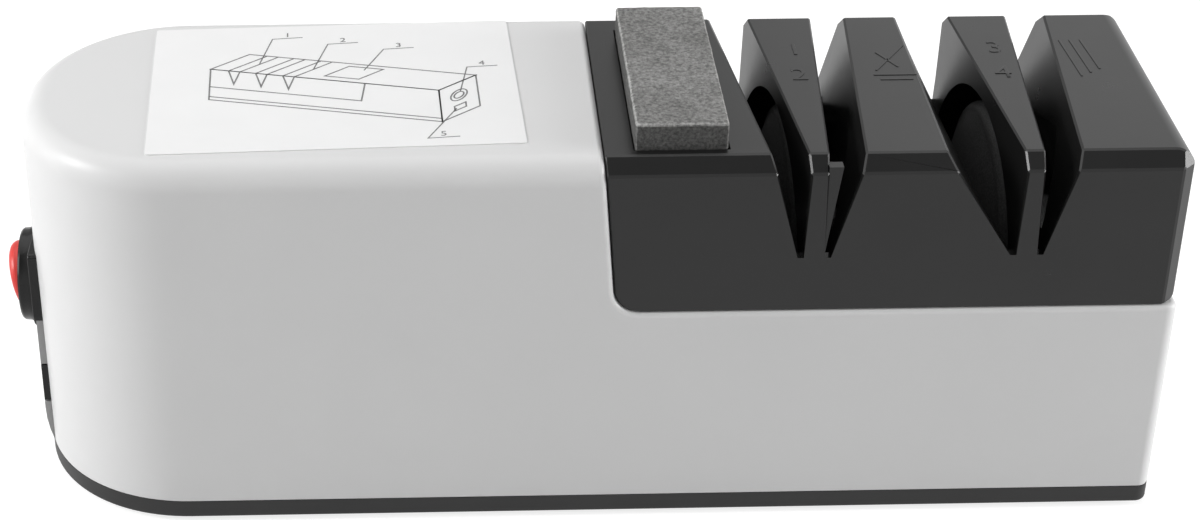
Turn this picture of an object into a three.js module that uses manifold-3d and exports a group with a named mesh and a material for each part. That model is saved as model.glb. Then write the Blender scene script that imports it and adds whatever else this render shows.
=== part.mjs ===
// Electric knife sharpener: white housing, black guide module with four slots, two grinding wheels.
// Millimetres, +Z up, +X towards the slots, -Y towards the user, origin under the middle of the part.
import * as THREE from 'three';
import { mergeVertices } from 'three/addons/utils/BufferGeometryUtils.js';
import Module from 'manifold-3d';

const wasm = await Module();
wasm.setup();

// Body and shell
const bodyLength = 220;
const bodyWidth = 65;
const bodyHeight = 78;
const baseThickness = 3.9;
const shellWall = 2.5;
const roundEndFlat = 4.3;
const squareEndRadius = 2.6;
const topFillet = 5;
const smallestRadius = 0.05;

// Clearances
const overrun = 2;
const fitGap = 0.3;
const turnedGap = 0.05;
const runningGap = 0.08;

// Notch in the shell and the guide module that fills it
const notchDepth = 32.1;
const moduleLength = 110;
const seamLean = THREE.MathUtils.degToRad(4.8);
const seamGap = 0.4;
const notchCornerRadius = 5;
const moduleInset = 0.5;
const moduleChamferReach = 3.2;
const moduleChamferDrop = 2.75;
const moduleWall = 2.5;

// Slots, two beside each divider
const pairInsetShare = 0.27691;
const pairPitchShare = 0.36273;
const slotDepth = 20.6;
const slotFloorWidth = 1.2;
const narrowSlotShare = 0.06182;
const narrowSlotBackShare = 0.07182;
const wideSlotFrontShare = 0.13136;
const wideSlotBackShare = 0.096;
const dividerTopHalf = 1.6;
const dividerFootHalf = 1.9;
const narrowSlotSplay = THREE.MathUtils.degToRad(4.5);
const wideSlotSplay = THREE.MathUtils.degToRad(3.6);
const stopReach = 4.3;
const stopDrop = 1.6;
const stopInset = 0.4;
const stopThickness = 2.2;
const slotFloorThickness = 2.5;

// Whetstone in its recess
const stoneStand = 5.4;
const stoneSunk = 3;
const stoneSeamMargin = 5.4;
const stoneSlotMargin = 1.8;
const stoneFrontMargin = 2;
const stoneBackMargin = 4.9;
const stoneChamfer = 0.8;

// Wheels and spindle
const chamberRoof = 4.3;
const spindleRadius = 4;
const wheelSideRoom = 0.3;
const wheelRimHalf = 3.1;
const wheelHubRadius = 11;
const wheelHubHalf = 7.2;
const wheelBulge = 0.5;
const chamberGap = 3.4;
const chamberSideGap = 1.8;
const guardWall = 2;
const reliefGap = 3;
const collarRadius = 6;
const collarLength = 3;
const nutAcrossFlats = 13;
const nutShare = 0.55556;

// Spindle bearings, their saddles on the base and their caps
const bearingLength = 7;
const bearingSideGap = 1.5;
const saddleThickness = 8;
const saddleSideRoom = 11;
const saddleEndGap = 2.5;
const capRadiusShare = 0.73684;
const bearingRadiusShare = 0.78571;
const bearingCapFlange = 4;

// Shaft coupling and cooling fan
const couplingRadius = 6.5;
const couplingLength = 18;
const shaftEndGap = 0.5;
const couplingGap = 2;
const fanGap = 2;
const fanSeamGap = 0.5;
const fanLength = 8;
const fanRadius = 17;
const fanHubRadius = 5;
const fanDiscThickness = 1;
const fanBladeThickness = 1;
const fanBladeCount = 8;

// Motor
const electricsLength = 35;
const motorSideRoom = 9;
const canWall = 1.5;
const canBossRadius = 8;
const canBossLength = 3;
const endCapLength = 9;
const motorShaftRadius = 2.5;
const shaftTail = 2;
const magnetThickness = 3.7;
const magnetArc = THREE.MathUtils.degToRad(130);
const magnetEndGap = 8;
const armatureGap = 0.6;
const armatureInset = 2;
const commutatorRadius = 6;
const commutatorLength = 5;
const brushWidth = 4;
const brushThickness = 3.4;
const brushShare = 0.4924;
const brushGap = 0.3;
const brushHolderWall = 1.4;
const brushHolderGap = 2;

// Motor supports
const cradleThickness = 4;
const cradleInset = 6;
const cradleHalfWidth = 20;
const cradleDrop = 9.5;
const cradleGap = 0.2;
const strapWidth = 12;
const strapThickness = 1.2;
const postThickness = 10;

// Screws
const screwRadius = 1.5;
const screwHeadRadius = 2.2;
const screwHeadHeight = 1.6;
const screwHoleGap = 0.2;
const screwHeadGap = 0.3;
const strapScrewLength = 9;
const capScrewLength = 10;
const baseScrewLength = 14;
const moduleScrewLength = 11;
const bossRadius = 4;
const bossSink = 0.5;
const bossHeight = 26;
const counterboreDepth = 2;
const rearBossInset = 38;
const frontBossInset = 49;
const lugHalfLength = 5;
const lugThickness = 3;
const lugReach = 9;
const moduleBossRadius = 3.5;
const moduleBossHeight = 14;
const moduleBossInset = 12;

// Rear panel
const panelHalfWidth = 10.6;
const panelStand = 0.1;
const panelPlate = 3.5;
const panelRim = 1.2;
const panelFlangeReach = 3.6;
const panelFlangeThickness = 1.6;
const panelTopMargin = 0.4;
const panelFootRise = 8;
const panelFootSetback = 1.3;

// Rocker switch
const switchHeight = 37.3;
const bezelRadius = 9.6;
const bezelStand = 2.85;
const bezelEdge = 0.9;
const barrelRadius = 8.8;
const barrelLength = 14;
const barrelFloor = 2;
const rockerHoleRadius = 8.1;
const rockerRadius = 7.1;
const rockerStand = 1.7;
const rockerThickness = 6;
const rockerEdge = 1.5;
const rockerTilt = THREE.MathUtils.degToRad(12);
const pivotDepth = 1.2;
const pivotRadius = 0.9;
const pivotReach = 8.6;
const rockerTailLength = 3;
const rockerTailWidth = 4;
const rockerTailThickness = 2.4;
const terminalWidth = 6.3;
const terminalThickness = 0.8;
const terminalLength = 8;
const terminalOffset = 5;

// Power inlet
const inletHeight = 18;
const inletFlangeHeight = 9;
const inletFlangeThickness = 2;
const inletBodyHalfWidth = 8.8;
const inletBodyHalfHeight = 4;
const inletDepth = 18;
const inletCavityHalfWidth = 7.4;
const inletCavityHalfHeight = 3.3;
const inletCavityDepth = 14;
const inletPinRadius = 1.2;
const inletPinOffset = 4.3;
const inletPinRecess = 4;
const inletPinTail = 4;

// Circuit board
const boardInset = 28;
const boardThickness = 1.6;
const boardHalfWidth = 20;
const boardHeight = 28;
const boardLift = 2;
const boardPostWidth = 5;
const boardPostDepth = 6;
const boardPostHeight = 10;
const boardGap = 0.2;
const capacitorRadius = 4;
const capacitorLength = 8;
const capacitorOffset = 12;
const capacitorHeight = 22;

// Leads between inlet, switch, board and motor
const leadRadius = 0.9;
const leadBend = 3;
const leadEndGap = 0.3;
const boardPadOffset = 5;
const boardLowPad = 14;
const boardHighPad = 29;
const motorTerminalShare = 0.66667;

// Feet and locating lips of the base
const footRadius = 6;
const footStand = 1;
const footSunk = 1.5;
const footEndInset = 20;
const footSideInset = 11;
const lipThickness = 1.5;
const lipHeight = 3;

// Paper card on the top face
const cardLengthShare = 0.64;
const cardWidthShare = 0.8;
const cardThickness = 0.25;
const cardInsetShare = 0.5449;
const cardShift = 1.2;
const cardTurn = THREE.MathUtils.degToRad(2.25);

// Facets of round forms
const roundEndSteps = 9;
const squareEndSteps = 1;
const filletSteps = 3;
const cornerSteps = 3;
const bigFacets = 32;
const middleFacets = 20;
const smallFacets = 12;
const hexagon = 6;
const leadSides = 8;
const leadSteps = 8;
const magnetSteps = 8;

// Places that several pieces share
const roundEnd = -bodyLength / 2;
const squareEnd = bodyLength / 2;
const roundEndRadius = (bodyWidth - roundEndFlat) / 2;
const innerHalfWidth = bodyWidth / 2 - shellWall;
const notchFloor = bodyHeight - notchDepth;
const seamTop = squareEnd - moduleLength;
const seamFoot = seamTop + notchDepth * Math.tan(seamLean);
const slotFloor = bodyHeight - slotDepth;
const widePairX = squareEnd - moduleLength * pairInsetShare;
const narrowPairX = widePairX - moduleLength * pairPitchShare;
const narrowSlotWidth = moduleLength * narrowSlotShare;
const narrowSlotBackWidth = moduleLength * narrowSlotBackShare;
const wideSlotFrontWidth = moduleLength * wideSlotFrontShare;
const wideSlotBackWidth = moduleLength * wideSlotBackShare;
const moduleHalfWidth = bodyWidth / 2 - moduleInset;
const chamberRadius = moduleHalfWidth - moduleWall - wheelSideRoom;
const spindleHeight = bodyHeight - chamberRoof - chamberRadius;
const chamberHalf = wheelHubHalf + chamberSideGap;
const wheelRadius = chamberRadius - chamberGap;
const moduleEnd = squareEnd - moduleInset;
const cavityLeft = seamFoot + seamGap + notchCornerRadius + moduleWall;
const frontCollarX = narrowPairX - wheelHubHalf - collarLength;
const frontBearingX = frontCollarX - bearingSideGap - bearingLength / 2;
const spindleEnd = squareEnd - shellWall - saddleEndGap;
const endBearingX = spindleEnd - saddleThickness / 2;
const nutStart = widePairX + wheelHubHalf;
const nutLength = (endBearingX - bearingLength / 2 - nutStart) * nutShare;
const couplingEnd = frontBearingX - saddleThickness / 2 - couplingGap;
const couplingStart = couplingEnd - couplingLength;
const couplingMiddle = (couplingStart + couplingEnd) / 2;
const fanEnd = Math.min(couplingStart - fanGap, seamTop - fanSeamGap);
const fanStart = fanEnd - fanLength;
const canEnd = fanStart - fanGap - canBossLength;
const endCapStart = roundEnd + electricsLength;
const canStart = endCapStart + endCapLength;
const cradleTop = spindleHeight - cradleDrop;
const motorRadius = innerHalfWidth - motorSideRoom;
const canInnerRadius = motorRadius - canWall;
const saddleHalfWidth = innerHalfWidth - saddleSideRoom;
const bearingCapRadius = saddleHalfWidth * capRadiusShare;
const bearingRadius = bearingCapRadius * bearingRadiusShare;
const panelFace = roundEnd - panelStand;
const bezelFace = panelFace - bezelStand;
const panelTop = switchHeight + bezelRadius + panelTopMargin;
const panelFlangeSide = panelHalfWidth + panelFlangeReach;
const panelFlangeX = innerEndAt(panelFlangeSide) + fitGap;
const panelBack = panelFlangeX + panelFlangeThickness;
const bossOffset = innerHalfWidth - bossRadius + bossSink;
const boardLeft = roundEnd + boardInset - boardThickness;
const rearBossX = roundEnd + rearBossInset;
const frontBossX = squareEnd - frontBossInset;
const leftLugX = cavityLeft + lugHalfLength;
const rightLugX = squareEnd - moduleBossInset;
const moduleBossOffset = moduleHalfWidth - moduleWall - moduleBossRadius + bossSink;
const inletTail = panelFace + inletDepth + inletPinTail;
const terminalEnd = panelFace + barrelLength + terminalLength;
const strapX = (canStart + canEnd) / 2;
const postOffset = (motorRadius + strapThickness + innerHalfWidth) / 2;
const strapFoot = cradleTop + strapThickness;
const capFlangeTop = spindleHeight + bearingCapFlange;
const capScrewOffset = (bearingCapRadius + saddleHalfWidth) / 2;
const lugUnder = notchFloor - lugThickness;

// Where the inner wall of the round end lies at a distance y from the middle plane
function innerEndAt(y) {
  const cornerY = y - (bodyWidth / 2 - roundEndRadius);
  const innerRadius = roundEndRadius - shellWall;
  return roundEnd + roundEndRadius - Math.sqrt(innerRadius ** 2 - cornerY ** 2);
}

// Turns a three.js geometry into a solid that can be cut and joined
function toSolid(geometry) {
  const bare = geometry.clone();
  bare.deleteAttribute('normal');
  bare.deleteAttribute('uv');
  const welded = mergeVertices(bare);
  const corners = Array.from(welded.index.array);
  const kept = [];
  for (let i = 0; i < corners.length; i += 3) {
    const [a, b, c] = corners.slice(i, i + 3);
    if (a !== b && b !== c && c !== a) kept.push(a, b, c);
  }
  const mesh = new wasm.Mesh({
    numProp: 3,
    vertProperties: welded.attributes.position.array,
    triVerts: new Uint32Array(kept),
  });
  return new wasm.Manifold(mesh);
}

function toGeometry(solid) {
  const mesh = solid.getMesh();
  const geometry = new THREE.BufferGeometry();
  geometry.setAttribute('position', new THREE.BufferAttribute(mesh.vertProperties, 3));
  geometry.setIndex(new THREE.BufferAttribute(mesh.triVerts, 1));
  geometry.computeVertexNormals();
  return geometry;
}

function join(first, ...others) {
  return others.reduce((sum, solid) => sum.add(solid), first);
}

function cut(first, ...tools) {
  return tools.reduce((rest, tool) => rest.subtract(tool), first);
}

// A box between two corners
function block(x0, x1, y0, y1, z0, z1) {
  const geometry = new THREE.BoxGeometry(x1 - x0, y1 - y0, z1 - z0);
  geometry.translate((x0 + x1) / 2, (y0 + y1) / 2, (z0 + z1) / 2);
  return toSolid(geometry);
}

// An outline of [a, b] points extruded: alongX reads it as y and z, alongY as x and z, alongZ as x and y
function extruded(points, length, holes = []) {
  const shape = new THREE.Shape(points.map(([a, b]) => new THREE.Vector2(a, b)));
  holes.forEach((hole) => shape.holes.push(new THREE.Path(hole.map(([a, b]) => new THREE.Vector2(a, b)))));
  return new THREE.ExtrudeGeometry(shape, { depth: length, bevelEnabled: false });
}

function alongX(points, x0, x1, holes = []) {
  const geometry = extruded(points, x1 - x0, holes);
  const turn = new THREE.Matrix4().makeBasis(
    new THREE.Vector3(0, 1, 0),
    new THREE.Vector3(0, 0, 1),
    new THREE.Vector3(1, 0, 0),
  );
  geometry.applyMatrix4(turn);
  geometry.translate(x0, 0, 0);
  return toSolid(geometry);
}

function alongY(points, y0, y1) {
  const geometry = extruded(points, y1 - y0);
  geometry.rotateX(Math.PI / 2);
  geometry.translate(0, y1, 0);
  return toSolid(geometry);
}

// A rod with its axis along x, y or z, from one end to the other
function rodX(radius, x0, x1, y, z, facets = smallFacets) {
  const geometry = new THREE.CylinderGeometry(radius, radius, x1 - x0, facets);
  geometry.rotateZ(-Math.PI / 2);
  geometry.translate((x0 + x1) / 2, y, z);
  return toSolid(geometry);
}

function rodY(radius, y0, y1, x, z, facets = smallFacets) {
  const geometry = new THREE.CylinderGeometry(radius, radius, y1 - y0, facets);
  geometry.translate(x, (y0 + y1) / 2, z);
  return toSolid(geometry);
}

function rodZ(radius, z0, z1, x, y, facets = smallFacets) {
  const geometry = new THREE.CylinderGeometry(radius, radius, z1 - z0, facets);
  geometry.rotateX(Math.PI / 2);
  geometry.translate(x, y, (z0 + z1) / 2);
  return toSolid(geometry);
}

// A closed profile of [x, radius] points turned about the spindle line or any line along x
function turned(profile, facets, y = 0, z = spindleHeight) {
  const points = profile.map(([x, radius]) => new THREE.Vector2(radius, x));
  const geometry = new THREE.LatheGeometry(points, facets);
  geometry.rotateZ(-Math.PI / 2);
  geometry.translate(0, y, z);
  const solid = toSolid(geometry);
  return solid.volume() < 0 ? toSolid(flipped(geometry)) : solid;
}

function flipped(geometry) {
  const copy = geometry.clone();
  const index = Array.from(copy.index.array);
  copy.setIndex(index.reverse());
  return copy;
}

// A tube wall, closed on itself
function ringProfile(x0, x1, innerRadius, outerRadius) {
  return [
    [x0, innerRadius],
    [x1, innerRadius],
    [x1, outerRadius],
    [x0, outerRadius],
    [x0, innerRadius],
  ];
}

// A skin over rings of points, each ring convex and anticlockwise seen from above, low ring first
function loft(rings) {
  const count = rings[0].length;
  const positions = rings.flat().flatMap(([x, y, z]) => [x, y, z]);
  const index = [];
  for (let i = 1; i < count - 1; i += 1) index.push(0, i + 1, i);
  for (let ring = 0; ring < rings.length - 1; ring += 1) {
    for (let i = 0; i < count; i += 1) {
      const a = ring * count + i;
      const b = ring * count + ((i + 1) % count);
      index.push(a, b, b + count, a, b + count, a + count);
    }
  }
  const top = (rings.length - 1) * count;
  for (let i = 1; i < count - 1; i += 1) index.push(top, top + i, top + i + 1);
  const geometry = new THREE.BufferGeometry();
  geometry.setAttribute('position', new THREE.Float32BufferAttribute(positions, 3));
  geometry.setIndex(index);
  return toSolid(geometry);
}

// A rectangle in plan with one radius at its left corners and one at its right corners, drawn in by inset
function planRing(left, right, halfWidth, leftRadius, rightRadius, inset, z) {
  const corners = [
    [right, -1, 1, rightRadius, -Math.PI / 2, squareEndSteps],
    [right, 1, 1, rightRadius, 0, squareEndSteps],
    [left, 1, -1, leftRadius, Math.PI / 2, roundEndSteps],
    [left, -1, -1, leftRadius, Math.PI, roundEndSteps],
  ];
  return corners.flatMap(([x, ySide, xSide, radius, start, steps]) => {
    const corner = Math.max(radius - inset, smallestRadius);
    const centreX = x - xSide * (inset + corner);
    const centreY = ySide * (halfWidth - inset - corner);
    return Array.from({ length: steps + 1 }, (_, i) => {
      const angle = start + (i / steps) * (Math.PI / 2);
      return [centreX + corner * Math.cos(angle), centreY + corner * Math.sin(angle), z];
    });
  });
}

function bodyRing(inset, z) {
  return planRing(roundEnd, squareEnd, bodyWidth / 2, roundEndRadius, squareEndRadius, inset, z);
}

// The arc that rounds the corner of an outline between the points before and after it
function roundedCorner(before, corner, after, radius) {
  const at = new THREE.Vector2(...corner);
  const back = new THREE.Vector2(...before).sub(at).normalize();
  const ahead = new THREE.Vector2(...after).sub(at).normalize();
  const half = Math.acos(back.dot(ahead)) / 2;
  const middle = back.clone().add(ahead).normalize();
  const centre = at.clone().addScaledVector(middle, radius / Math.sin(half));
  const start = at.clone().addScaledVector(back, radius / Math.tan(half)).sub(centre);
  const end = at.clone().addScaledVector(ahead, radius / Math.tan(half)).sub(centre);
  const sweep = Math.atan2(start.cross(end), start.dot(end));
  return Array.from({ length: cornerSteps + 1 }, (_, i) => {
    const point = start.clone().rotateAround(new THREE.Vector2(), (i / cornerSteps) * sweep).add(centre);
    return [point.x, point.y];
  });
}

// The side view of the notch: leaning seam, rounded inner corner, flat floor
function notchOutline(gap, right, top) {
  const seamAt = (z) => seamTop + gap + (bodyHeight - z) * Math.tan(seamLean);
  const upperLeft = [seamAt(top), top];
  const foot = [seamAt(notchFloor), notchFloor];
  const lowerRight = [right, notchFloor];
  const corner = roundedCorner(upperLeft, foot, lowerRight, notchCornerRadius);
  return [upperLeft, ...corner, lowerRight, [right, top]];
}

// Screw that points along +z from the underside of its head
function screw(length) {
  return join(rodZ(screwRadius, 0, length, 0, 0), rodZ(screwHeadRadius, -screwHeadHeight, 0, 0, 0));
}

function upward(solid, x, y, z) {
  return solid.translate([x, y, z]);
}

function downward(solid, x, y, z) {
  return solid.rotate([180, 0, 0]).translate([x, y, z]);
}

// White housing, open below, with the notch, the panel window, screw bosses and module lugs
function bodyShell() {
  const filletRing = (radius, start, top) => Array.from({ length: filletSteps + 1 }, (_, i) => {
    const angle = (i / filletSteps) * (Math.PI / 2);
    return bodyRing(start + radius * (1 - Math.cos(angle)), top - radius + radius * Math.sin(angle));
  });
  const outside = loft([bodyRing(0, baseThickness), ...filletRing(topFillet, 0, bodyHeight)]);
  const innerFillet = topFillet - shellWall;
  const ceiling = bodyHeight - shellWall;
  const inside = loft([
    bodyRing(shellWall, baseThickness - overrun),
    ...filletRing(innerFillet, shellWall, ceiling),
  ]);
  const notch = alongY(
    notchOutline(0, squareEnd + overrun, bodyHeight + overrun),
    -bodyWidth / 2 - overrun,
    bodyWidth / 2 + overrun,
  );
  const windowSide = panelHalfWidth + fitGap;
  const windowDepth = roundEnd + roundEndRadius;
  const panelWindow = block(
    roundEnd - overrun, windowDepth, -windowSide, windowSide, baseThickness - overrun, panelTop + fitGap,
  );
  let shell = cut(outside, inside, notch, panelWindow);
  for (const side of [-1, 1]) {
    for (const x of [rearBossX, frontBossX]) {
      const y = side * bossOffset;
      shell = join(shell, rodZ(bossRadius, baseThickness, baseThickness + bossHeight, x, y, middleFacets));
      const pilotTop = baseThickness + baseScrewLength;
      shell = cut(shell, rodZ(screwRadius + turnedGap, baseThickness - overrun, pilotTop, x, y));
    }
    for (const x of [leftLugX, rightLugX]) {
      const near = side * (innerHalfWidth - lugReach);
      const far = side * (innerHalfWidth + bossSink);
      const lug = block(
        x - lugHalfLength, x + lugHalfLength, Math.min(near, far), Math.max(near, far),
        lugUnder, notchFloor,
      );
      shell = join(shell, lug);
      const y = side * moduleBossOffset;
      shell = cut(shell, rodZ(screwRadius + screwHoleGap, lugUnder - overrun, notchFloor + overrun, x, y));
    }
  }
  return shell;
}

// Distance of a slot's two walls from the middle of its pair, at a place along the slot and a height
function slotWalls({ front, back, splay }, y, z) {
  const climb = (z - slotFloor) / slotDepth;
  const travel = (y + bodyWidth / 2) / bodyWidth;
  const topWidth = front + (back - front) * travel;
  const divider = dividerFootHalf + (dividerTopHalf - dividerFootHalf) * climb;
  const inner = divider + (y + bodyWidth / 2) * Math.tan(splay);
  const outer = inner + slotFloorWidth + (topWidth - slotFloorWidth) * climb;
  return [inner, outer];
}

// The four slots in order from the round end: pair, side of its divider, top widths, spread towards the back
const slots = [
  { pair: narrowPairX, side: -1, front: narrowSlotWidth, back: narrowSlotBackWidth, splay: narrowSlotSplay },
  { pair: narrowPairX, side: 1, front: narrowSlotWidth, back: narrowSlotWidth, splay: narrowSlotSplay },
  { pair: widePairX, side: -1, front: wideSlotFrontWidth, back: wideSlotBackWidth, splay: wideSlotSplay },
  { pair: widePairX, side: 1, front: narrowSlotWidth, back: narrowSlotBackWidth, splay: narrowSlotSplay },
];

function slotCut(slot) {
  const front = -bodyWidth / 2 - overrun;
  const back = bodyWidth / 2 + overrun;
  const ringAt = (z) => {
    const ends = [front, back].map((y) => {
      const places = slotWalls(slot, y, z).map((reach) => slot.pair + slot.side * reach);
      return [Math.min(...places), Math.max(...places)];
    });
    return [
      [ends[0][0], front, z],
      [ends[0][1], front, z],
      [ends[1][1], back, z],
      [ends[1][0], back, z],
    ];
  };
  return loft([ringAt(slotFloor), ringAt(bodyHeight + overrun)]);
}

// Hollow under one block of the module, between two walls given as functions of y and z
function blockHollow(leftWall, rightWall, ceiling) {
  const front = -moduleHalfWidth + moduleWall;
  const back = -front;
  const floor = slotFloor - slotFloorThickness;
  const ringAt = (z) => [
    [leftWall(front, z), front, z],
    [rightWall(front, z), front, z],
    [rightWall(back, z), back, z],
    [leftWall(back, z), back, z],
  ];
  return loft([ringAt(floor - overrun), ringAt(ceiling)]);
}

// Outer wall of a slot, moved into its block by the wall thickness
function blockSide(slot) {
  return (y, z) => slot.pair + slot.side * (slotWalls(slot, y, z)[1] + moduleWall);
}

function wheelChamber(pair, grow) {
  const half = chamberHalf + grow;
  return rodX(chamberRadius + grow, pair - half, pair + half, 0, spindleHeight, bigFacets);
}

const stonePlace = {
  left: seamTop + seamGap + stoneSeamMargin,
  right: narrowPairX - slotWalls(slots[0], moduleHalfWidth, bodyHeight)[1] - stoneSlotMargin,
  front: -moduleHalfWidth + moduleChamferReach + stoneFrontMargin,
  back: moduleHalfWidth - moduleChamferReach - stoneBackMargin,
};

// Blade stop: a thin wedge in the mouth of the second slot, against its divider
function bladeStop() {
  const root = narrowPairX + dividerTopHalf;
  const outline = [
    [root - dividerTopHalf, slotFloor],
    [root, slotFloor],
    [narrowPairX + stopReach, bodyHeight - stopDrop],
    [root - dividerTopHalf, bodyHeight - stopDrop],
  ];
  const front = -moduleHalfWidth + stopInset;
  return alongY(outline, front, front + stopThickness);
}

// Black module: leaning left side, chamfered top edges, slots, wheel guards and hollow blocks
function guideModule() {
  const sideView = alongY(
    notchOutline(seamGap, moduleEnd, bodyHeight),
    -moduleHalfWidth,
    moduleHalfWidth,
  );
  const ring = (inset, z) => planRing(
    seamTop - bodyWidth, moduleEnd, moduleHalfWidth, squareEndRadius, squareEndRadius, inset, z,
  );
  const planView = loft([
    ring(0, notchFloor - overrun),
    ring(0, bodyHeight - moduleChamferDrop),
    ring(moduleChamferReach, bodyHeight),
  ]);
  const ceiling = bodyHeight - moduleWall;
  const stoneCeiling = ceiling - stoneSunk;
  const leftSide = () => cavityLeft;
  const rightSide = () => moduleEnd - moduleWall;
  const inner = moduleHalfWidth - moduleWall;
  const lowHollow = block(
    cavityLeft, moduleEnd - moduleWall, -inner, inner, notchFloor - overrun, slotFloor - slotFloorThickness,
  );
  const jackets = [narrowPairX, widePairX].map((pair) => wheelChamber(pair, guardWall));
  const hollows = [
    lowHollow,
    blockHollow(leftSide, blockSide(slots[0]), stoneCeiling),
    blockHollow(blockSide(slots[1]), blockSide(slots[2]), ceiling),
    blockHollow(blockSide(slots[3]), rightSide, ceiling),
  ].map((hollow) => cut(hollow, ...jackets));
  const recess = block(
    stonePlace.left - fitGap, stonePlace.right + fitGap,
    stonePlace.front - fitGap, stonePlace.back + fitGap,
    bodyHeight - stoneSunk, bodyHeight + overrun,
  );
  const reliefEnd = moduleEnd - moduleWall;
  const relief = rodX(collarRadius + reliefGap, seamTop, reliefEnd, 0, spindleHeight, bigFacets);
  let module = cut(sideView.intersect(planView), ...hollows, recess, ...slots.map(slotCut));
  module = join(module, bladeStop());
  module = cut(module, wheelChamber(narrowPairX, 0), wheelChamber(widePairX, 0), relief);
  for (const x of [leftLugX, rightLugX]) {
    for (const side of [-1, 1]) {
      const y = side * moduleBossOffset;
      const bossTop = notchFloor + moduleBossHeight;
      module = join(module, rodZ(moduleBossRadius, notchFloor, bossTop, x, y, middleFacets));
      const pilotTop = notchFloor + moduleScrewLength - lugThickness;
      module = cut(module, rodZ(screwRadius + turnedGap, notchFloor - overrun, pilotTop, x, y));
    }
  }
  return module;
}

// A low wall across the base with a round seat for a cylinder along the spindle line
function saddle(x, thickness, halfWidth, top, seatRadius, facets) {
  const wallBlock = block(x - thickness / 2, x + thickness / 2, -halfWidth, halfWidth, 0, top);
  const seat = rodX(seatRadius, x - thickness, x + thickness, 0, spindleHeight, facets);
  return cut(wallBlock, seat);
}

const feet = [-1, 1].flatMap((end) => [-1, 1].map((side) => ({
  x: end * (bodyLength / 2 - footEndInset),
  y: side * (bodyWidth / 2 - footSideInset),
})));

// Dark base with locating lips, motor cradle, strap posts, bearing saddles and board posts
function basePlate() {
  let base = loft([bodyRing(0, 0), bodyRing(0, baseThickness)]);
  const lipOuter = innerHalfWidth - fitGap;
  const lipInner = lipOuter - lipThickness;
  for (const side of [-1, 1]) {
    const lip = block(
      rearBossX + bossRadius + overrun, frontBossX - bossRadius - overrun,
      Math.min(side * lipOuter, side * lipInner), Math.max(side * lipOuter, side * lipInner),
      0, baseThickness + lipHeight,
    );
    base = join(base, lip);
    const post = block(
      strapX - postThickness / 2, strapX + postThickness / 2,
      Math.min(side * (motorRadius + cradleGap), side * lipOuter),
      Math.max(side * (motorRadius + cradleGap), side * lipOuter),
      0, cradleTop,
    );
    const postHole = rodZ(
      screwRadius + turnedGap, cradleTop - strapScrewLength, cradleTop + overrun, strapX, side * postOffset,
    );
    base = cut(join(base, post), postHole);
    const boardSlot = block(
      boardLeft - boardGap, boardLeft + boardThickness + boardGap,
      -boardHalfWidth - boardGap, boardHalfWidth + boardGap,
      baseThickness + boardLift, baseThickness + boardHeight,
    );
    const boardMiddle = boardLeft + boardThickness / 2;
    const postIn = boardHalfWidth - boardPostWidth / 2;
    const postOut = boardHalfWidth + boardPostWidth / 2;
    const boardPost = block(
      boardMiddle - boardPostDepth / 2, boardMiddle + boardPostDepth / 2,
      Math.min(side * postIn, side * postOut), Math.max(side * postIn, side * postOut),
      0, baseThickness + boardPostHeight,
    );
    base = join(base, cut(boardPost, boardSlot));
  }
  for (const x of [canStart + cradleInset, canEnd - cradleInset]) {
    const seatRadius = motorRadius + cradleGap;
    base = join(base, saddle(x, cradleThickness, cradleHalfWidth, cradleTop, seatRadius, bigFacets));
  }
  for (const x of [frontBearingX, endBearingX]) {
    const seatRadius = bearingRadius + turnedGap;
    base = join(base, saddle(x, saddleThickness, saddleHalfWidth, spindleHeight, seatRadius, middleFacets));
    for (const side of [-1, 1]) {
      const y = side * capScrewOffset;
      const holeFoot = spindleHeight - capScrewLength + bearingCapFlange;
      base = cut(base, rodZ(screwRadius + turnedGap, holeFoot, spindleHeight + overrun, x, y));
    }
  }
  for (const side of [-1, 1]) {
    for (const x of [rearBossX, frontBossX]) {
      const y = side * bossOffset;
      const hole = rodZ(screwRadius + screwHoleGap, -overrun, baseThickness + overrun, x, y);
      const counterbore = rodZ(screwHeadRadius + screwHeadGap, -overrun, counterboreDepth, x, y);
      base = cut(base, hole, counterbore);
    }
  }
  const pocketRadius = footRadius + turnedGap;
  const pockets = feet.map(({ x, y }) => rodZ(pocketRadius, -overrun, footSunk, x, y, middleFacets));
  return cut(base, ...pockets);
}

function rubberFoot({ x, y }) {
  return rodZ(footRadius, -footStand, footSunk, x, y, middleFacets);
}

// Side view of the rear panel, its outer face curving in to meet the base
function panelOutline() {
  const foot = [panelFace + panelFootSetback, baseThickness];
  const bend = [panelFace, baseThickness + panelFootRise / 2];
  const rise = [panelFace, baseThickness + panelFootRise];
  const curve = new THREE.QuadraticBezierCurve(
    new THREE.Vector2(...rise),
    new THREE.Vector2(...bend),
    new THREE.Vector2(...foot),
  );
  const bent = curve.getPoints(cornerSteps).map((point) => [point.x, point.y]);
  return [[panelBack, panelTop], [panelFace, panelTop], ...bent, [panelBack, baseThickness]];
}

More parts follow.
